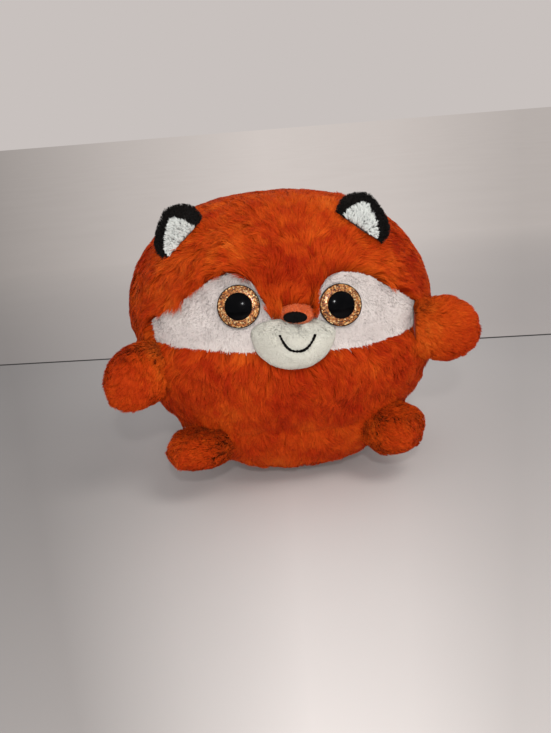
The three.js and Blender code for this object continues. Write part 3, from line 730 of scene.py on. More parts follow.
def far_material(name, colour):
    """The far surface: lit near the toy, and in the distance a glow of one plain colour, with the
    painted shade to the sides, that only the camera sees.
    """
    nodes, base, y = stage_nodes(name, colour)
    far = nodes.add("MapRange", {"Value": y, "From Min": .25, "From Max": .8}).outputs[0]
    seen = nodes.add("LightPath").outputs["Is Camera Ray"]
    mix = nodes.add("MixShader", {0: nodes.math("MULTIPLY", far, seen),
                                  1: nodes.shader.outputs[0],
                                  2: nodes.add("Emission", {"Color": base}).outputs[0]})
    nodes.feed(nodes.tree.nodes["Material Output"], "Surface", mix.outputs[0])
    return nodes.material


orange_pile = pile_material("orange_pile", [(136, 22, 2), (162, 41, 5), (180, 58, 9),
                                            (194, 75, 15), (212, 100, 30)],
                            .74, 1.03, .03, (1, .5, .2, 1))
white_pile = pile_material("white_pile", [(190, 178, 173), (200, 189, 184), (208, 197, 192),
                                          (215, 205, 199), (223, 213, 207)], .9, 1.0)
muzzle_pile = pile_material("muzzle_pile", [(182, 178, 166), (192, 188, 176), (200, 196, 184),
                                            (207, 204, 192), (216, 213, 202)], .9, 1.0)
peach_pile = pile_material("peach_pile", [(170, 52, 12), (184, 68, 24), (198, 86, 42),
                                          (212, 114, 72), (226, 146, 108)], .78, 1.0)
black_pile = pile_material("black_pile", [(6, 5, 5), (12, 10, 9), (18, 15, 13), (24, 20, 18),
                                          (40, 34, 30)], .5, 1.1, .08)
ear_white_pile = pile_material("ear_white_pile", [(182, 184, 180), (200, 202, 197),
                                                  (212, 214, 209), (222, 224, 219),
                                                  (234, 234, 230)], .7, 1.0)
orange_cloth = cloth_material("orange_backing", (176, 52, 9), (150, 36, 5))
white_cloth = cloth_material("white_backing", (212, 202, 198), (198, 188, 184))
muzzle_cloth = cloth_material("muzzle_backing", (204, 201, 190), (190, 187, 176))
peach_cloth = cloth_material("peach_backing", (206, 104, 60), (180, 84, 46))
black_cloth = cloth_material("black_backing", (16, 13, 12), (8, 7, 6))
black_thread = thread_material("black_embroidery_thread", (7, 5, 5), (15, 13, 13))
eye_black = cloudy_material("eye_black_gloss", (180.0, 3.0), [(.35, (2, 2, 3)), (.7, (7, 6, 7))],
                            [(.3, .1), (.7, .14)], Specular_IOR_Level=.06)
glitter = glitter_material()
washer_plastic = cloudy_material(
    "washer_moulding", (300.0, 4.0), [(.3, (212.04, 210.18, 204.6)), (.7, (228, 226, 220))],
    [(.3, .35), (.7, .5)], (.1, .1))
fibre = cloudy_material("fibre_filling", (400.0, 8.0, 2.0),
                        [(.3, (206, 202, 194)), (.7, (240, 238, 232))], None, (.6, .6),
                        Roughness=1.0)


# The ball

outlines = {side: patch_outline(side) for side in PATCHES}
MAP_STEP, MAP_LEFT, MAP_TOP = 2.0, -104.0, 180
BACK_SPLIT = 92.0
CLOTH_AROUND, CLOTH_RINGS, CLOTH_THICKNESS = 144, 88, .9
SOLE_HALF_WIDTH, SOLE_HALF_DEPTH, SOLE_TOP = 47, 41, 26


def patch_map():
    """How far each place on the face lies outside the nearer eye patch, on a fine grid."""
    x, z = np.meshgrid(np.arange(MAP_LEFT, -MAP_LEFT, MAP_STEP), np.arange(0, MAP_TOP, MAP_STEP),
                       indexing="ij")
    gaps = []
    for outline in outlines.values():
        gap, _ = outline_distance(outline, x.ravel(), z.ravel())
        gaps.append(np.where(in_outline(outline, x.ravel(), z.ravel()), -gap, gap))
    return np.minimum(*gaps).reshape(x.shape)


gap_map = patch_map()


def patch_gap(points):
    """The distance on the face from a patch's edge, below zero on the patch."""
    across = np.clip((points[..., 0] - MAP_LEFT) / MAP_STEP, 0, gap_map.shape[0] - 1.001)
    up = np.clip(points[..., 2] / MAP_STEP, 0, gap_map.shape[1] - 1.001)
    i, j = across.astype(int), up.astype(int)
    low = mixed(gap_map[i, j], gap_map[i + 1, j], across - i)
    high = mixed(gap_map[i, j + 1], gap_map[i + 1, j + 1], across - i)
    return mixed(low, high, up - j)


def brow(point):
    """How near a place is to the shaggy left brow, 0 to 1."""
    return bell((point[:, 0] + 58) / 15, (point[:, 2] - 122) / 14) * (point[:, 1] < 0)


def past_patches(flow, point, normal, step=1.5):
    """Lays pile along the eye patches' edges, but over the edge at the left brow."""
    slope = join(patch_gap(point + (step, 0, 0)) - patch_gap(point - (step, 0, 0)), 0,
                patch_gap(point + (0, 0, step)) - patch_gap(point - (0, 0, step)))
    towards = -unit(slope)
    near = smooth(10, 3, patch_gap(point)) * on_face(point)
    over = brow(point)
    lean = np.clip((flow * towards).sum(1), 0, None) * near * (1 - over)
    flow = flow - towards * lean[:, None] + towards * (.5 * over * near)[:, None]
    return tangent(flow, normal)


# Combing of the front: place on the face and direction in degrees, 0 to the right, 90 up
COMB = np.array([
    (-1, 114, 90), (-9, 120, 112), (8, 120, 66), (-2, 130, 94), (-12, 132, 128),
    (-22, 134, 165), (-16, 144, 112), (-34, 152, 122), (-4, 154, 95), (16, 134, 52),
    (30, 140, 22), (22, 152, 58), (46, 146, 4), (62, 134, -22), (76, 116, -50),
    (86, 96, -72), (-34, 139, 196), (-30, 132, 222), (-46, 130, 228), (-62, 119, 234),
    (-76, 106, 246), (-86, 94, 258), (-52, 142, 204), (-68, 132, 222), (-48, 156, 150),
    (-64, 148, 186), (0, 80, 270), (-28, 84, 262), (28, 84, 278), (-48, 78, 250),
    (48, 78, 290), (-82, 78, 246), (82, 78, 294), (0, 56, 270), (-30, 54, 258),
    (30, 54, 284), (0, 28, 270), (-50, 40, 244), (50, 40, 296), (-78, 52, 240),
    (78, 52, 300), (0, 8, 270)], float)
COMB_REACH = 9.0


def combed(point, normal):
    """The direction in which the ball's long pile lies."""
    gap = (point[:, None, 0] - COMB[:, 0]) ** 2 + (point[:, None, 2] - COMB[:, 1]) ** 2
    weight = np.exp(-gap / (2 * COMB_REACH ** 2)) + 1e-9 / (gap + 1)
    angle = np.radians(COMB[:, 2])
    x, z = (weight * np.cos(angle)).sum(1), (weight * np.sin(angle)).sum(1)
    length = np.hypot(x, z)
    back = .55 * np.clip((point[:, 2] - 118) / 45, 0, 1.4)
    ahead = join(x / length, back, z / length)
    down = join(.16 * point[:, 0] / 60, .9 * smooth(120, 165, point[:, 2]), -1.0)
    flow = tangent(mixed(ahead, down, smooth(-34, 10, point[:, 1])[:, None]), normal)
    level = unit(join(point[:, 0], point[:, 1], 0.0))
    return tangent(mixed(flow, level, smooth(14, 5, point[:, 2])[:, None]), normal)


def eye_axis(side):
    x, z, degrees = EYES[side]
    x, z, swing = np.float64(x), np.float64(z), math.radians(degrees)
    ahead = front_normal(x, z, EYE_INSET)
    c, s = math.cos(swing), math.sin(swing)
    axis = np.array([ahead[0] * c - ahead[1] * s, ahead[0] * s + ahead[1] * c, ahead[2]])
    return front_at(x, z, EYE_INSET), axis


eye_axes = {side: eye_axis(side) for side in EYES}


def clear_of_eyes(line, radius=EYE_RADIUS + .1):
    """True for the strands that no eye presses flat."""
    keep = np.ones(len(line), bool)
    for seat, axis in eye_axes.values():
        off = line - seat
        along = (off * axis).sum(-1)
        apart = np.linalg.norm(off - along[..., None] * axis, axis=-1)
        keep &= ~((apart < radius) & (along > -12)).any(1)
    return keep


def clear_of_face(line):
    under = inside_pad(MUZZLE, line[:, 2:], 1.2).any(1) | inside_pad(SNOUT, line[:, 3], .6)
    return clear_of_eyes(line) & ~(under & (line[:, 0, 1] < SIDE_SEAM))


def under_limb(point):
    """How much a limb's root shelters a place on the ball, 0 to 1."""
    share = np.zeros(len(point))
    for name, limb in LIMBS.items():
        origin, axes = frame_of_limb(name)
        along, through, across = ((point - origin) @ axes).T
        wide = np.hypot(through / (limb["thick"] * .8), across / (limb["span"] * .8))
        share = np.maximum(share, smooth(1.15, .7, wide) * (along > -limb["root"] - 8))
    return share


def ball_roots():
    """Where the ball's strands stand: angles, places and normals, thinner at the back."""
    def surface(a, b):
        return ball_cloth(FULL_TURN * a - math.pi, np.arcsin(np.clip(2 * b - 1, -1, 1)))

    found = spread(surface, BALL_DENSITY, 101)
    azimuth, elevation = FULL_TURN * found[:, 0] - math.pi, np.arcsin(2 * found[:, 1] - 1)
    root = ball_cloth(azimuth, elevation)
    normal = unit(slopes(lambda a, b: ball_at(a, b, LONG_CLOTH_INSET), azimuth, elevation, 2e-3))
    chance = np.random.default_rng(102).uniform(0, 1, len(root))
    kept = chance < np.where(root[:, 1] < SIDE_SEAM, 1, BACK_SHARE)
    return azimuth[kept], elevation[kept], root[kept], normal[kept]


def make_ball():
    azimuth, elevation, root, normal = ball_roots()
    x, z = root[:, 0], root[:, 2]
    front = root[:, 1] < SIDE_SEAM
    sole = elevation < -.92 - .05 * np.cos(2 * azimuth)
    patch = np.zeros(len(root), bool)
    for outline in outlines.values():
        patch |= front & in_outline(outline, x, z)
    covered = front & (inside_pad(MUZZLE, root, -1.5) | inside_pad(SNOUT, root, -1))
    face = front & ~patch & ~covered
    cheek, high, left = z > CHEEK_LINE, z > BACK_SPLIT, x < 0
    low_face, low_back = face & ~cheek & ~sole, ~front & ~sole & ~high
    panels = [
        ("crown", face & cheek, "crown_panel"),
        ("belly_left", low_face & left, "belly_panel"),
        ("belly_right", low_face & ~left, "belly_panel"),
        ("back_left_upper", ~front & high & left, "back_panel_left"),
        ("back_left_lower", low_back & left, "back_panel_left"),
        ("back_right_upper", ~front & high & ~left, "back_panel_right"),
        ("back_right_lower", low_back & ~left, "back_panel_right"),
        ("sole", sole, "sole_panel"),
    ]
    for index, (panel, chosen, node) in enumerate(panels):
        p, n = root[chosen], normal[chosen]
        x, y, z = p.T
        wild = .2 + .2 * smooth(100, 120, z) * smooth(40, -30, x)
        flow = turn(combed(p, n), n, .26 * swirl(p) + wild * ripple(p))
        flow = past_patches(flow, p, n)
        rear, low = behind(p), smooth(26, 6, z)
        seam = bell(np.where(y > SIDE_SEAM, x, 99) / 2.4)
        depth = cloth_inset(azimuth[chosen], elevation[chosen])
        height = (depth + .1 * rear - .2) * (1 - .3 * under_limb(p)) * (1 - .12 * seam)
        height += (.5 - .3 * rear) * ripple(p)
        height -= 1.4 * smooth(150, 162, z) + 1.2 * low
        reach = (6.8 + .8 * swirl(p + 40)) * (1 - .35 * low) + 3.6 * brow(p)
        reach += 1.4 * rear
        shaggy = np.clip(.12 + .5 * brow(p) + .3 * smooth(95, 125, z)
                         * smooth(40, -40, x), 0, .65) * (y < SIDE_SEAM)
        if panel == "sole":
            height, reach = np.clip(height, 1.2, None), 5.0 * np.ones(len(p))
        height = np.clip(height, 1.2, depth + .6)
        # Painted shade: the fur under the muzzle is darker as shade; the bridge between the eyes
        # is darker too.
        bridge = bell((x + 4) / 22, (z - 124) / 16)
        shade_under_muzzle = bell((x - 18) / 34, (z - 66) / 18)
        tone = .5 + .09 * deepness(p) + .06 * ripple(p + 9)
        tone -= (.2 * bridge + .16 * shade_under_muzzle) * (y < -20)
        # Painted light: the top of the crown is lighter, as if lit from above, and the rest a
        # little darker.
        tone += .12 * smooth(125, 158, z) - .05
        width = .42 + .26 * smooth(-40, -10, y)
        grow(panel, orange_pile, "body", "long_plush_orange", node, p, n, flow, height, reach,
             width, tone, 300 + index, pull=.42 - .2 * rear, avoid=clear_of_face, tuft=shaggy,
             clump_tone=.085 if panel == "crown" else .06, **BALL_PILE)


def make_ball_cloth():
    """The knitted backing of each panel, cut from one ball at its seams, over the filling."""
    azimuth = circle(CLOTH_AROUND)[None] - math.pi
    elevation = (np.arange(1, CLOTH_RINGS) / CLOTH_RINGS - .5)[:, None] * math.pi
    low, high = (ball_cloth(np.array(0.0), np.array(end * (math.pi / 2 - 1e-4)))
                 for end in (-1, 1))
    whole = closed_form("ball_cloth", ball_cloth(azimuth, elevation), low, high)
    bm = bmesh.new()
    bm.from_mesh(whole.data)
    for point, direction in [((0, SIDE_SEAM, 0), (0, 1, 0)), ((0, 0, CHEEK_LINE), (0, 0, 1)),
                             ((0, 0, 0), (1, 0, 0))]:
        geometry = bm.verts[:] + bm.edges[:] + bm.faces[:]
        bmesh.ops.bisect_plane(bm, geom=geometry, plane_co=place(point), plane_no=direction)
    centres = np.array([tuple(face.calc_center_median()) for face in bm.faces])
    x, y, z = (centres / MILLIMETRE - ROW_SHIFT).T
    sole = (z < SOLE_TOP) & (np.hypot(x / SOLE_HALF_WIDTH, y / SOLE_HALF_DEPTH) < 1)
    front = y < SIDE_SEAM
    panels = {
        "crown": front & (z > CHEEK_LINE), "belly": front & (z <= CHEEK_LINE) & ~sole,
        "back_left": ~front & ~sole & (x < 0), "back_right": ~front & ~sole & (x >= 0),
        "sole": sole,
    }
    for panel, chosen in panels.items():
        part = bm.copy()
        part.faces.ensure_lookup_table()
        spare = [part.faces[i] for i in np.flatnonzero(~chosen)]
        bmesh.ops.delete(part, geom=spare, context="FACES")
        mesh = bpy.data.meshes.new("cloth_" + panel)
        part.to_mesh(mesh)
        part.free()
        made = linked("cloth_" + panel, mesh)
        mesh.polygons.foreach_set("use_smooth", np.full(len(mesh.polygons), True))
        thicken(made, CLOTH_THICKNESS)
        dress(made, orange_cloth, "body", "long_plush_orange")
    bm.free()
    bpy.data.objects.remove(whole)
    deeper = ball_at(azimuth, elevation, cloth_inset(azimuth, elevation) + 1.6)
    filling = closed_form("ball_filling", deeper, deeper[0].mean(0), deeper[-1].mean(0))
    dress(filling, fibre, "body", "stuffing", ["body_stuffing", "pellet_bag"])


# Eye patches


def patch_cloth(name, outline, rings=15):
    middle = outline.mean(0)
    shares = np.linspace(1, 0, rings)[:-1]
    grid = middle + (outline - middle)[None] * shares[:, None, None]
    grid[0] = middle + (outline - middle) * 1.02
    skin = front_at(grid[..., 0], grid[..., 1], PATCH_CLOTH_INSET)
    skin[0] = front_at(grid[0, :, 0], grid[0, :, 1], PATCH_CLOTH_INSET + .8)
    centre = front_at(middle[0], middle[1], PATCH_CLOTH_INSET)
    points = np.concatenate([skin.reshape(-1, 3), [centre]])
    around, j = len(outline), np.arange(len(outline))
    last = (len(shares) - 1) * around
    caps = join(last + j, last + (j + 1) % around, len(points) - 1)
    made = build(name, points, tube_faces(len(shares), around), caps)
    outward_shells(made)
    thicken(made, .7)
    return made


def make_patches():
    for number, side in enumerate(PATCHES):
        outline = outlines[side]
        dress(patch_cloth("cloth_patch_" + side, outline), white_cloth, "body",
              "short_plush_white")
        low, high = outline.min(0), outline.max(0)
        count = int((high - low).prod() * PATCH_DENSITY)
        found = quasi(count, 400 + number) * (high - low) + low
        found = found[in_outline(outline, *found.T)]
        x, z = found.T
        normal = front_normal(x, z, PATCH_CLOTH_INSET)
        chance = np.random.default_rng(410 + number).uniform(0, 1, len(x))
        keep = chance < .55 / np.maximum(-normal[:, 1], .3)
        x, z, normal = x[keep], z[keep], normal[keep]
        root = front_at(x, z, PATCH_CLOTH_INSET)
        bare = ~(inside_pad(MUZZLE, root, -1) | inside_pad(SNOUT, root, -1))
        x, z, normal, root = x[bare], z[bare], normal[bare], root[bare]
        gap, near = outline_distance(outline, x, z)
        lower_edge = smooth(4.0, 0.5, gap) * (near[:, 1] < z)
        lie = join(.35 * PATCHES[side]["side"], 0.0, -1 + 0 * x)
        rim = unit(join(near[:, 0] - x, 0.0, near[:, 1] - z))
        flow = tangent(lie + rim * (smooth(3.0, .2, gap) * .9)[:, None], normal)
        flow = turn(flow, normal, .3 * ripple(root))
        height = 1.6 + .12 * ripple(root) + .8 * lower_edge
        reach = 1.5 + 2.6 * lower_edge
        grow("patch_" + side, white_pile, "body", "short_plush_white", "eye_patch_" + side, root,
             normal, flow, height, reach, .42, .55 + .08 * deepness(root * 1.5), 420 + number,
             avoid=lambda line: clear_of_eyes(line) & ~inside_pad(MUZZLE, line[:, 2], 0),
             **SHORT_PILE)


# Muzzle, snout, nose and smile


def pad_cloth(name, pad, inset, rings, around):
    latitude = (np.arange(1, rings) / rings - .5)[:, None] * math.pi
    grid = pad_at(pad, -inset, circle(around)[None], latitude)
    grid[..., 1] = np.minimum(grid[..., 1], pad["centre"][1] + 4)
    low, high = (pad_at(pad, -inset, np.float64(0), np.float64(end * math.pi / 2))
                 for end in (-1, 1))
    return closed_form(name, grid, low, high)


def pad_roots(pad, inset, per_area, seed, margin):
    """Roots over a pad where it stands out of the ball."""
    def surface(a, b):
        return pad_at(pad, -inset, math.pi * (a - .5) * 1.04,
                      np.arcsin(np.clip(2 * b - 1, -1, 1)))

    root, normal = sown(surface, per_area, seed)
    outside = root[:, 1] < front_at(root[:, 0], root[:, 2], 0)[:, 1] + margin
    return root[outside], normal[outside]


def make_muzzle():
    cloth = pad_cloth("cloth_muzzle", MUZZLE, MUZZLE_CLOTH_INSET, 28, 72)
    dress(cloth, muzzle_cloth, "body", "short_plush_muzzle", ["muzzle_stuffing"])
    root, normal = pad_roots(MUZZLE, MUZZLE_CLOTH_INSET, MUZZLE_DENSITY, 501, 8.5)
    keep = ~inside_pad(SNOUT, root, -1.5)
    root, normal = root[keep], normal[keep]
    out = root - (MUZZLE["centre"] + (1.5, 0, 6))
    out[:, 1] = 0
    lie = unit(out) + np.array([0, 0, -.55])
    flow = turn(tangent(lie, normal), normal, .35 * ripple(root * 1.3))
    smile_gap = np.full(len(root), 99.0)
    for point in smile_line(40):
        smile_gap = np.minimum(smile_gap, np.linalg.norm(root - point, axis=1))
    top = smooth(98, 106, root[:, 2])
    height = 1.35 * (1 - .5 * smooth(4.2, 2.2, smile_gap)) * (1 - .45 * top) + .12 * ripple(root)
    grow("muzzle", muzzle_pile, "body", "short_plush_muzzle", "muzzle_panel", root, normal,
         flow, height, 1.5, .42, .55 + .08 * deepness(root * 2), 502, **SHORT_PILE,
         avoid=lambda line: clear_of_eyes(line) & ~inside_pad(SNOUT, line[:, 3], -.6))


def make_snout():
    cloth = pad_cloth("cloth_snout", SNOUT, SNOUT_CLOTH_INSET, 20, 48)
    dress(cloth, peach_cloth, "body", "short_plush_orange")
    root, normal = pad_roots(SNOUT, SNOUT_CLOTH_INSET, SNOUT_DENSITY, 511, 7.0)
    out = root - NOSE["centre"]
    out[:, 1] *= .3
    nose_gap = np.hypot((root[:, 0] - NOSE["centre"][0]) / NOSE["half"],
                        (root[:, 2] - NOSE["centre"][2]) / NOSE["rise"])
    height = 1.35 * smooth(.7, 1.4, nose_gap) + .2
    below = root[:, 2] - NOSE["centre"][2]
    tone = .52 - .4 * smooth(1.1, 2.1, nose_gap) + .36 * smooth(-.5, -4, below)
    grow("snout", peach_pile, "body", "short_plush_orange", "snout_pad", root, normal,
         tangent(out, normal), height, .9 + .6 * height, .34, tone, 512, avoid=clear_of_eyes,
         **SNOUT_PILE)


def make_nose(around=240, rings=26, threads=17):
    """Satin stitch: upright threads laid side by side over a small oval cushion."""
    angle = circle(around)
    radius = np.sin(np.arange(1, rings + 1) / rings * math.pi / 2)[:, None]
    x = NOSE["half"] * radius * np.cos(angle)
    z = NOSE["rise"] * radius * np.sin(angle)
    cover = np.sqrt(np.clip(1 - radius ** 2, 0, 1)) * np.ones(around)
    lane = x / (2 * NOSE["half"]) * threads
    ridge = np.abs(np.sin(math.pi * lane)) ** .6
    uneven = np.sin(np.floor(lane) * 12.9898) * 43758.5453 % 1.0
    z = z * (1 + .1 * (uneven - .5) * radius ** 4)
    y = -NOSE["depth"] * .75 * cover ** .8 - .22 * ridge * (.35 + .65 * cover) - .1
    front = tilted(join(x, y, z))
    back = tilted(join(x[-1] * .94, 2.0, z[-1] * .94))
    grid = np.concatenate([back[None], front[::-1]]) + NOSE["centre"]
    made = closed_form("nose_stitching", grid, NOSE["centre"] + (0, 2.0, 0),
                       NOSE["centre"] + (0, -NOSE["depth"] * .75 - .3, 0))
    dress(outward_shells(made), black_thread, "body", "black_thread", ["nose"])


def smile_line(count):
    share = np.linspace(-1, 1, count)
    x = SMILE["x"] - MUZZLE["centre"][0] + share * SMILE["half"]
    z = SMILE["top"] - MUZZLE["centre"][2] - SMILE["depth"] * (1 - np.abs(share) ** SMILE["curve"])
    lift = SMILE["radius"] - .35
    half = np.where(z > 0, MUZZLE["rise"], MUZZLE["drop"]) + lift
    cover = 1 - (x / (MUZZLE["half"] + lift)) ** 2 - (z / half) ** 2
    return tilted(join(x, -(MUZZLE["depth"] + lift) * np.sqrt(cover), z)) + MUZZLE["centre"]


def make_smile(stitches=12, plies=2, steps=15, around=10):
    """A row of overlapping stitches of two-ply thread along the smile."""
    line = smile_line(400)
    length = np.concatenate([[0], np.cumsum(np.linalg.norm(np.diff(line, axis=0), axis=1))])
    pitch = length[-1] / stitches
    share = np.linspace(0, 1, steps)
    swell = np.sin(math.pi * share)
    angle = circle(around)[None, :, None]
    faces, caps = closed_faces(steps, around)
    points, quads, triangles = [], [], []
    for strand in range(stitches * plies):
        number, ply = divmod(strand, plies)
        t = np.linspace(number * pitch - .38, (number + 1) * pitch + .38, steps)
        t = np.clip(t, 0, length[-1])
        middle = np.stack([np.interp(t, length, line[:, i]) for i in range(3)], 1)
        along = unit(np.gradient(middle, axis=0) + 1e-9)
        out = tangent(np.tile([0.0, -1, 0], (steps, 1)), along)
        side = np.cross(along, out)
        bow = .22 * swell - .3 * (1 - swell) ** 3
        spin = share * 3.2 + ply * math.pi + number * .7
        centre = middle + out * (bow + .26 * np.sin(spin))[:, None] \
            + side * (.3 * np.cos(spin))[:, None]
        radius = .42 * np.clip(np.sin(math.pi * (.06 + .88 * share)) * 3, 0, 1)
        ring = centre[:, None] + radius[:, None, None] * (
            out[:, None] * np.cos(angle) + side[:, None] * np.sin(angle))
        start = strand * (steps * around + 2)
        points += [ring.reshape(-1, 3), centre[:1], centre[-1:]]
        quads.append(faces + start)
        triangles.append(caps + start)
    made = build("smile_stitching", *map(np.concatenate, (points, quads, triangles)))
    dress(outward_shells(made), black_thread, "body", "black_thread", ["smile_stitch"])


# Eyes


def turned(name, profile, seat, axis, around=120):
    """A closed turned part from radius and height pairs, which start and end on its axis or
    else close on themselves."""
    right = unit(np.cross(UP, axis))
    up = np.cross(axis, right)
    profile = np.array(profile, float)
    angle = circle(around)[:, None]
    spoke = right * np.cos(angle) + up * np.sin(angle)
    on_axis = profile[0, 0] == 0
    body = profile[1:-1] if on_axis else profile
    ring = seat + body[:, 0, None, None] * spoke + body[:, 1, None, None] * axis
    if on_axis:
        made = closed_form(name, ring, seat + axis * profile[0, 1], seat + axis * profile[-1, 1])
    else:
        points = ring.reshape(-1, 3)
        made = build(name, points, tube_faces(len(ring) + 1, around) % len(points))
    return outward_shells(made)


def make_eyes():
    base, ring_outer, ring_inner, dome_rise = 1.9, 2.8, 3.75, 1.35
    window = EYE_RADIUS - .32
    edge, hole, fit = window - .06, PUPIL_RADIUS + .05, PUPIL_RADIUS - .02
    sphere = (PUPIL_RADIUS ** 2 + dome_rise ** 2) / (2 * dome_rise)

    def cap(radius):
        return ring_inner + dome_rise - sphere + math.sqrt(sphere ** 2 - radius ** 2) + .04

    rim = [(0, -12), (1.7, -12), (2.2, -11.5), (2.2, 0), (EYE_RADIUS - .5, 0),
           (EYE_RADIUS - .12, .3), (EYE_RADIUS, .9), (EYE_RADIUS, 2.2)]
    rim += [(EYE_RADIUS - .15 + .15 * math.cos(a), 2.6 + .3 * math.sin(a))
            for a in np.radians([0, 30, 60, 90, 120, 150, 180])]
    rim += [(window + .02, 1.6), (0, 1.6)]
    ring = [(hole, base), (edge, base)]
    ring += [(edge + (hole - edge) * s,
              ring_outer + (ring_inner - ring_outer) * math.sin(math.pi / 2 * s))
             for s in np.linspace(0, 1, 12)]
    pupil = [(0, base), (fit, base)]
    pupil += [(r, cap(r)) for r in np.linspace(fit, .4, 18)] + [(0, cap(0))]
    for side, (seat, axis) in eye_axes.items():
        for piece, profile, around, material, slot, node in (
                ("eye_cup_", rim, 120, eye_black, "eye_black", "eye_back_"),
                ("eye_ring_", ring, 160, glitter, "eye_glitter", "eye_iris_"),
                ("eye_dome_", pupil, 120, eye_black, "eye_black", "eye_pupil_")):
            made = turned(piece + side, profile, seat + axis * .3, axis, around)
            dress(made, material, "body", slot, [node + side])
        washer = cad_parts["eye_washer_" + side]
        washer.data.materials.clear()
        washer.data.materials.append(washer_plastic)


# Limbs, tail and ears


def limb_skin(name, size, shape, origin, axes, inset, rings, around):
    share = np.sin(math.pi / 2 * np.arange(rings) / rings)
    grid = limb_at(size, shape, inset, share[:, None], circle(around)[None])
    low = grid[0].mean(0) - (.6, 0, 0)
    high = limb_at(size, shape, inset, np.float64(1.0), np.float64(0.0))
    made = closed_form(name, grid @ axes.T + origin, axes @ low + origin, axes @ high + origin)
    return outward_shells(made)


def limb_roots(size, shape, origin, axes, inset, per_area, seed):
    """Roots in the limb's own frame and on the ball, with their normals."""
    def surface(a, b):
        return limb_at(size, shape, inset, np.sin(math.pi / 2 * a), FULL_TURN * b)

    root, normal = sown(surface, per_area, seed)
    outward = np.sign(((root - root.mean(0)) * normal).sum(1).mean())
    return root, root @ axes.T + origin, normal * outward @ axes.T


def make_limbs():
    for number, (name, limb) in enumerate(LIMBS.items()):
        origin, axes = frame_of_limb(name)
        size = dict(limb, root=LIMB_CLOTH_INSET + 5)
        part, _, side = name.partition("_")
        filling = "tail_stuffing" if part == "tail" else f"{part}_stuffing_{side}"
        skin = limb_skin("cloth_" + name, size, limb["shape"], origin, axes, LIMB_CLOTH_INSET,
                         40, 64)
        dress(skin, orange_cloth, name, "long_plush_orange", [filling])
        local, root, out = limb_roots(size, limb["shape"], origin, axes, LIMB_CLOTH_INSET,
                                      LIMB_DENSITY, 600 + number)
        fan = join(1.0, 0.0, .35 * local[:, 2] / limb["span"])
        flow = tangent(fan @ axes.T + np.array([0, 0, -.35]), out)
        flow = turn(flow, out, .28 * swirl(root) + .16 * ripple(root))
        neck = smooth(9, 0, local[:, 0])
        height = 4.0 * (1 + .15 * neck) + .3 * ripple(root)
        reach = 4.5 + .6 * swirl(root)
        # Painted light: each limb is lighter at its root by the ball, against the shade that falls
        # there.
        tone = .5 + .09 * deepness(root) + .1 * neck
        upper = local[:, 1] >= 0
        if part == "tail":
            tip = local[:, 0] + 5 > TAIL_TIP_START
            groups = [("left", ~tip & upper, "tail_side_left"),
                      ("right", ~tip & ~upper, "tail_side_right"), ("tip", tip, "tail_tip")]
            height, reach = height * 1.05, reach * 1.5
        elif part == "arm":
            groups = [("front", upper, "arm_front_" + side), ("back", ~upper, "arm_back_" + side)]
        else:
            groups = [("top", upper, "foot_top_" + side), ("under", ~upper, "foot_sole_" + side)]
        for index, (word, chosen, node) in enumerate(groups):
            looks = ((white_pile, name, "long_plush_white") if word == "tip" else
                     (orange_pile, name, "long_plush_orange"))
            grow(f"{name}_{word}", *looks, node, root[chosen], out[chosen], flow[chosen],
                 height[chosen], reach[chosen], .5, tone[chosen], 640 + 5 * number + index,
                 **LIMB_PILE)


def in_lining(local, bend, shift):
    """True for places in an ear's lining, so far inside its edge that its pile ends there."""
    run = EAR_SIZE["length"] - EAR_RIM - LINING_REACH + EAR_SIZE["root"]
    share = np.clip((local[:, 0] + EAR_SIZE["root"]) / run, 0, 1)
    past = np.clip((share - EAR_BLADE["swell"]) / (1 - EAR_BLADE["swell"]), 0, 1)
    half = (EAR_SIZE["span"] - EAR_RIM - LINING_REACH) * (1 - past * past) ** EAR_BLADE["tip"]
    return (share < 1) & (np.abs(local[:, 2] - bend * share * share - shift) < half)


def make_ears():
    for number, (side, ear) in enumerate(EARS.items()):
        body = "ear_" + side
        origin, axes = frame_of_ear(side)
        size = dict(EAR_SIZE, root=3.0, bend=ear["bend"])
        skin = limb_skin("cloth_" + body, size, EAR_BLADE, origin, axes, EAR_CLOTH_INSET, 24, 48)
        dress(skin, black_cloth, body, "black_plush")
        local, root, out = limb_roots(size, EAR_BLADE, origin, axes, EAR_CLOTH_INSET,
                                      EAR_DENSITY, 700 + number)
        away = unit(join(local[:, 0] + 8, 0.0, local[:, 2] * 1.2))
        flow = turn(tangent(away @ axes.T, out), out, .2 * ripple(root))
        tone = .45 + .1 * deepness(root * 2)
        inner = (local[:, 1] > .2) & in_lining(local, ear["bend"], ear["shift"])
        grow(body, black_pile, body, "black_plush", "ear_back_" + side, root[~inner],
             out[~inner], flow[~inner], 1.9, 1.3, .38, tone[~inner], 710 + number, **EAR_PILE)
        grow("lining_" + side, ear_white_pile, body, "ear_lining_white", "ear_lining_" + side,
             root[inner] + out[inner] * .25, out[inner], flow[inner], 1.8, 1.9, .4,
             tone[inner] + .1, 720 + number, **LINING_PILE)


make_ball()
make_ball_cloth()
make_patches()
make_muzzle()
make_snout()
make_nose()
make_smile()
make_eyes()
make_limbs()
make_ears()


# Stage, light and camera, in metres

# Lamps: place, target, size, power, colour and whether gloss shows them
LAMPS = {
    "key": ((.34, -.5, .8), (0, 0, .08), .45, 2.8, (1.0, .98, .95), False),
    "near_camera": ((-.05, -.6, .37), (0, 0, .09), .04, .92, (1, 1, 1), True),
    "near_camera_low": ((-.045, -.6, .2), (0, 0, .07), .16, 1.64, (1, 1, 1), False),
}
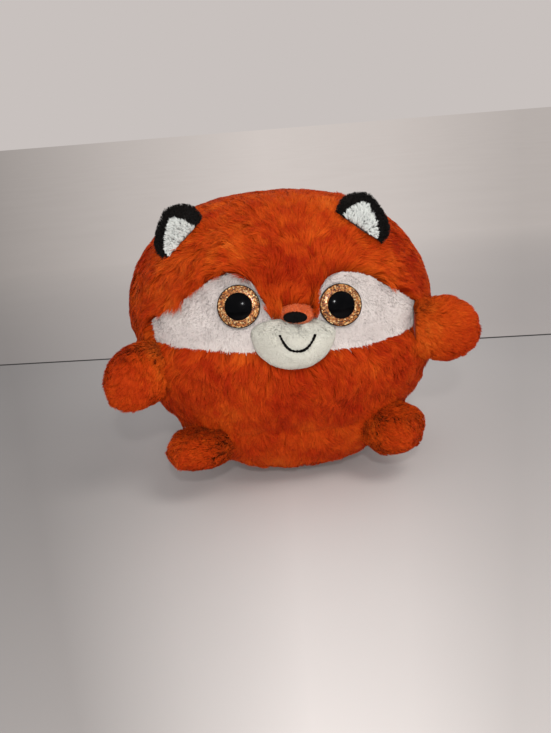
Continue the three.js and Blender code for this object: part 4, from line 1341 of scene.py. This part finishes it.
# The photograph's camera: place, aim and roll found from the toy's own features
CAMERA_PLACE = np.array([-51.39, -451.07, 203.64]) + ROW_SHIFT
CAMERA_AIM = np.array([0.09458, 0.94796, -0.30402])
CAMERA_ROLL = math.radians(4.5)
FOCAL_PIXELS, PHOTO_HEIGHT, SENSOR = 780.0, 733.0, 36.0
# A dark strip of painted shadow, where the two tops meet, crosses behind the toy and slopes a
# little
STAGE_NEAR, STAGE_FAR, STAGE_SIDE = -6.0, 14.0, 12.0
SHADOW_LINE_Y, SHADOW_LINE_SLOPE, SHADOW_LINE_WIDTH = .23, .18, .004
WORLD_LIGHT, WORLD_SEEN = (.96, .97, 1.0, 1), (200, 193, 190)


def make_lamps():
    for name, (location, target, size, power, colour, glossy) in LAMPS.items():
        data = bpy.data.lights.new(name, "AREA")
        data.shape, data.size, data.energy, data.color = "DISK", size, power, colour
        made = linked(name, data)
        made.location = location
        direction = Vector(target) - Vector(location)
        made.rotation_euler = direction.to_track_quat("-Z", "Y").to_euler()
        made.visible_glossy = glossy


def make_camera():
    forward = unit(CAMERA_AIM)
    right = unit(np.cross(forward, [0, 0, 1]))
    up = np.cross(right, forward)
    rolled_right = right * math.cos(CAMERA_ROLL) - up * math.sin(CAMERA_ROLL)
    axes = np.stack([rolled_right, np.cross(rolled_right, forward), -forward], 1)
    data = bpy.data.cameras.new("camera")
    data.lens = FOCAL_PIXELS / PHOTO_HEIGHT * SENSOR
    data.sensor_width = SENSOR
    data.sensor_fit = "AUTO"
    data.clip_start = .01
    matrix = Matrix(axes.tolist()).to_4x4()
    matrix.translation = Vector(CAMERA_PLACE * MILLIMETRE)
    made = linked("camera", data)
    made.matrix_world = matrix
    bpy.context.scene.camera = made


def make_stage():
    """Three flat strips: the near top, the painted shadow line where the tops meet, and the far
    top.
    """
    left, right = SHADOW_LINE_Y + SHADOW_LINE_SLOPE * STAGE_SIDE, SHADOW_LINE_Y - SHADOW_LINE_SLOPE * STAGE_SIDE
    edges = [(STAGE_NEAR, STAGE_NEAR), (left, right), (left + SHADOW_LINE_WIDTH, right + SHADOW_LINE_WIDTH),
             (STAGE_FAR, STAGE_FAR)]
    # The strip between the tops is painted dark as the shadow where they meet.
    strips = [("floor_near", stage_nodes("table_top", (203, 196, 192))[0].material),
              ("floor_shadow_line", stage_nodes("painted_corner_shadow", (72, 68, 66))[0].material),
              ("floor_far", far_material("far_top", (210, 201, 196)))]
    for (name, material), near, far in zip(strips, edges, edges[1:]):
        mesh = bpy.data.meshes.new(name)
        mesh.from_pydata([(-STAGE_SIDE, near[0], 0), (STAGE_SIDE, near[1], 0),
                          (STAGE_SIDE, far[1], 0), (-STAGE_SIDE, far[0], 0)], [], [(0, 1, 2, 3)])
        mesh.materials.append(material)
        linked(name, mesh)


def make_world():
    world = bpy.data.worlds.new("studio")
    world.use_nodes = True
    nodes, links = world.node_tree.nodes, world.node_tree.links
    nodes.clear()
    output, mix, path = (nodes.new("ShaderNode" + kind)
                         for kind in ("OutputWorld", "MixShader", "LightPath"))
    links.new(path.outputs["Is Camera Ray"], mix.inputs[0])
    for slot, colour, strength in ((1, WORLD_LIGHT, .6), (2, as_colour(WORLD_SEEN), 1.0)):
        shade = nodes.new("ShaderNodeBackground")
        shade.inputs["Color"].default_value = colour
        shade.inputs["Strength"].default_value = strength
        links.new(shade.outputs[0], mix.inputs[slot])
    links.new(mix.outputs[0], output.inputs["Surface"])
    bpy.context.scene.world = world


make_camera()
make_stage()
make_world()
make_lamps()
bpy.context.scene.view_settings.view_transform = "Standard"
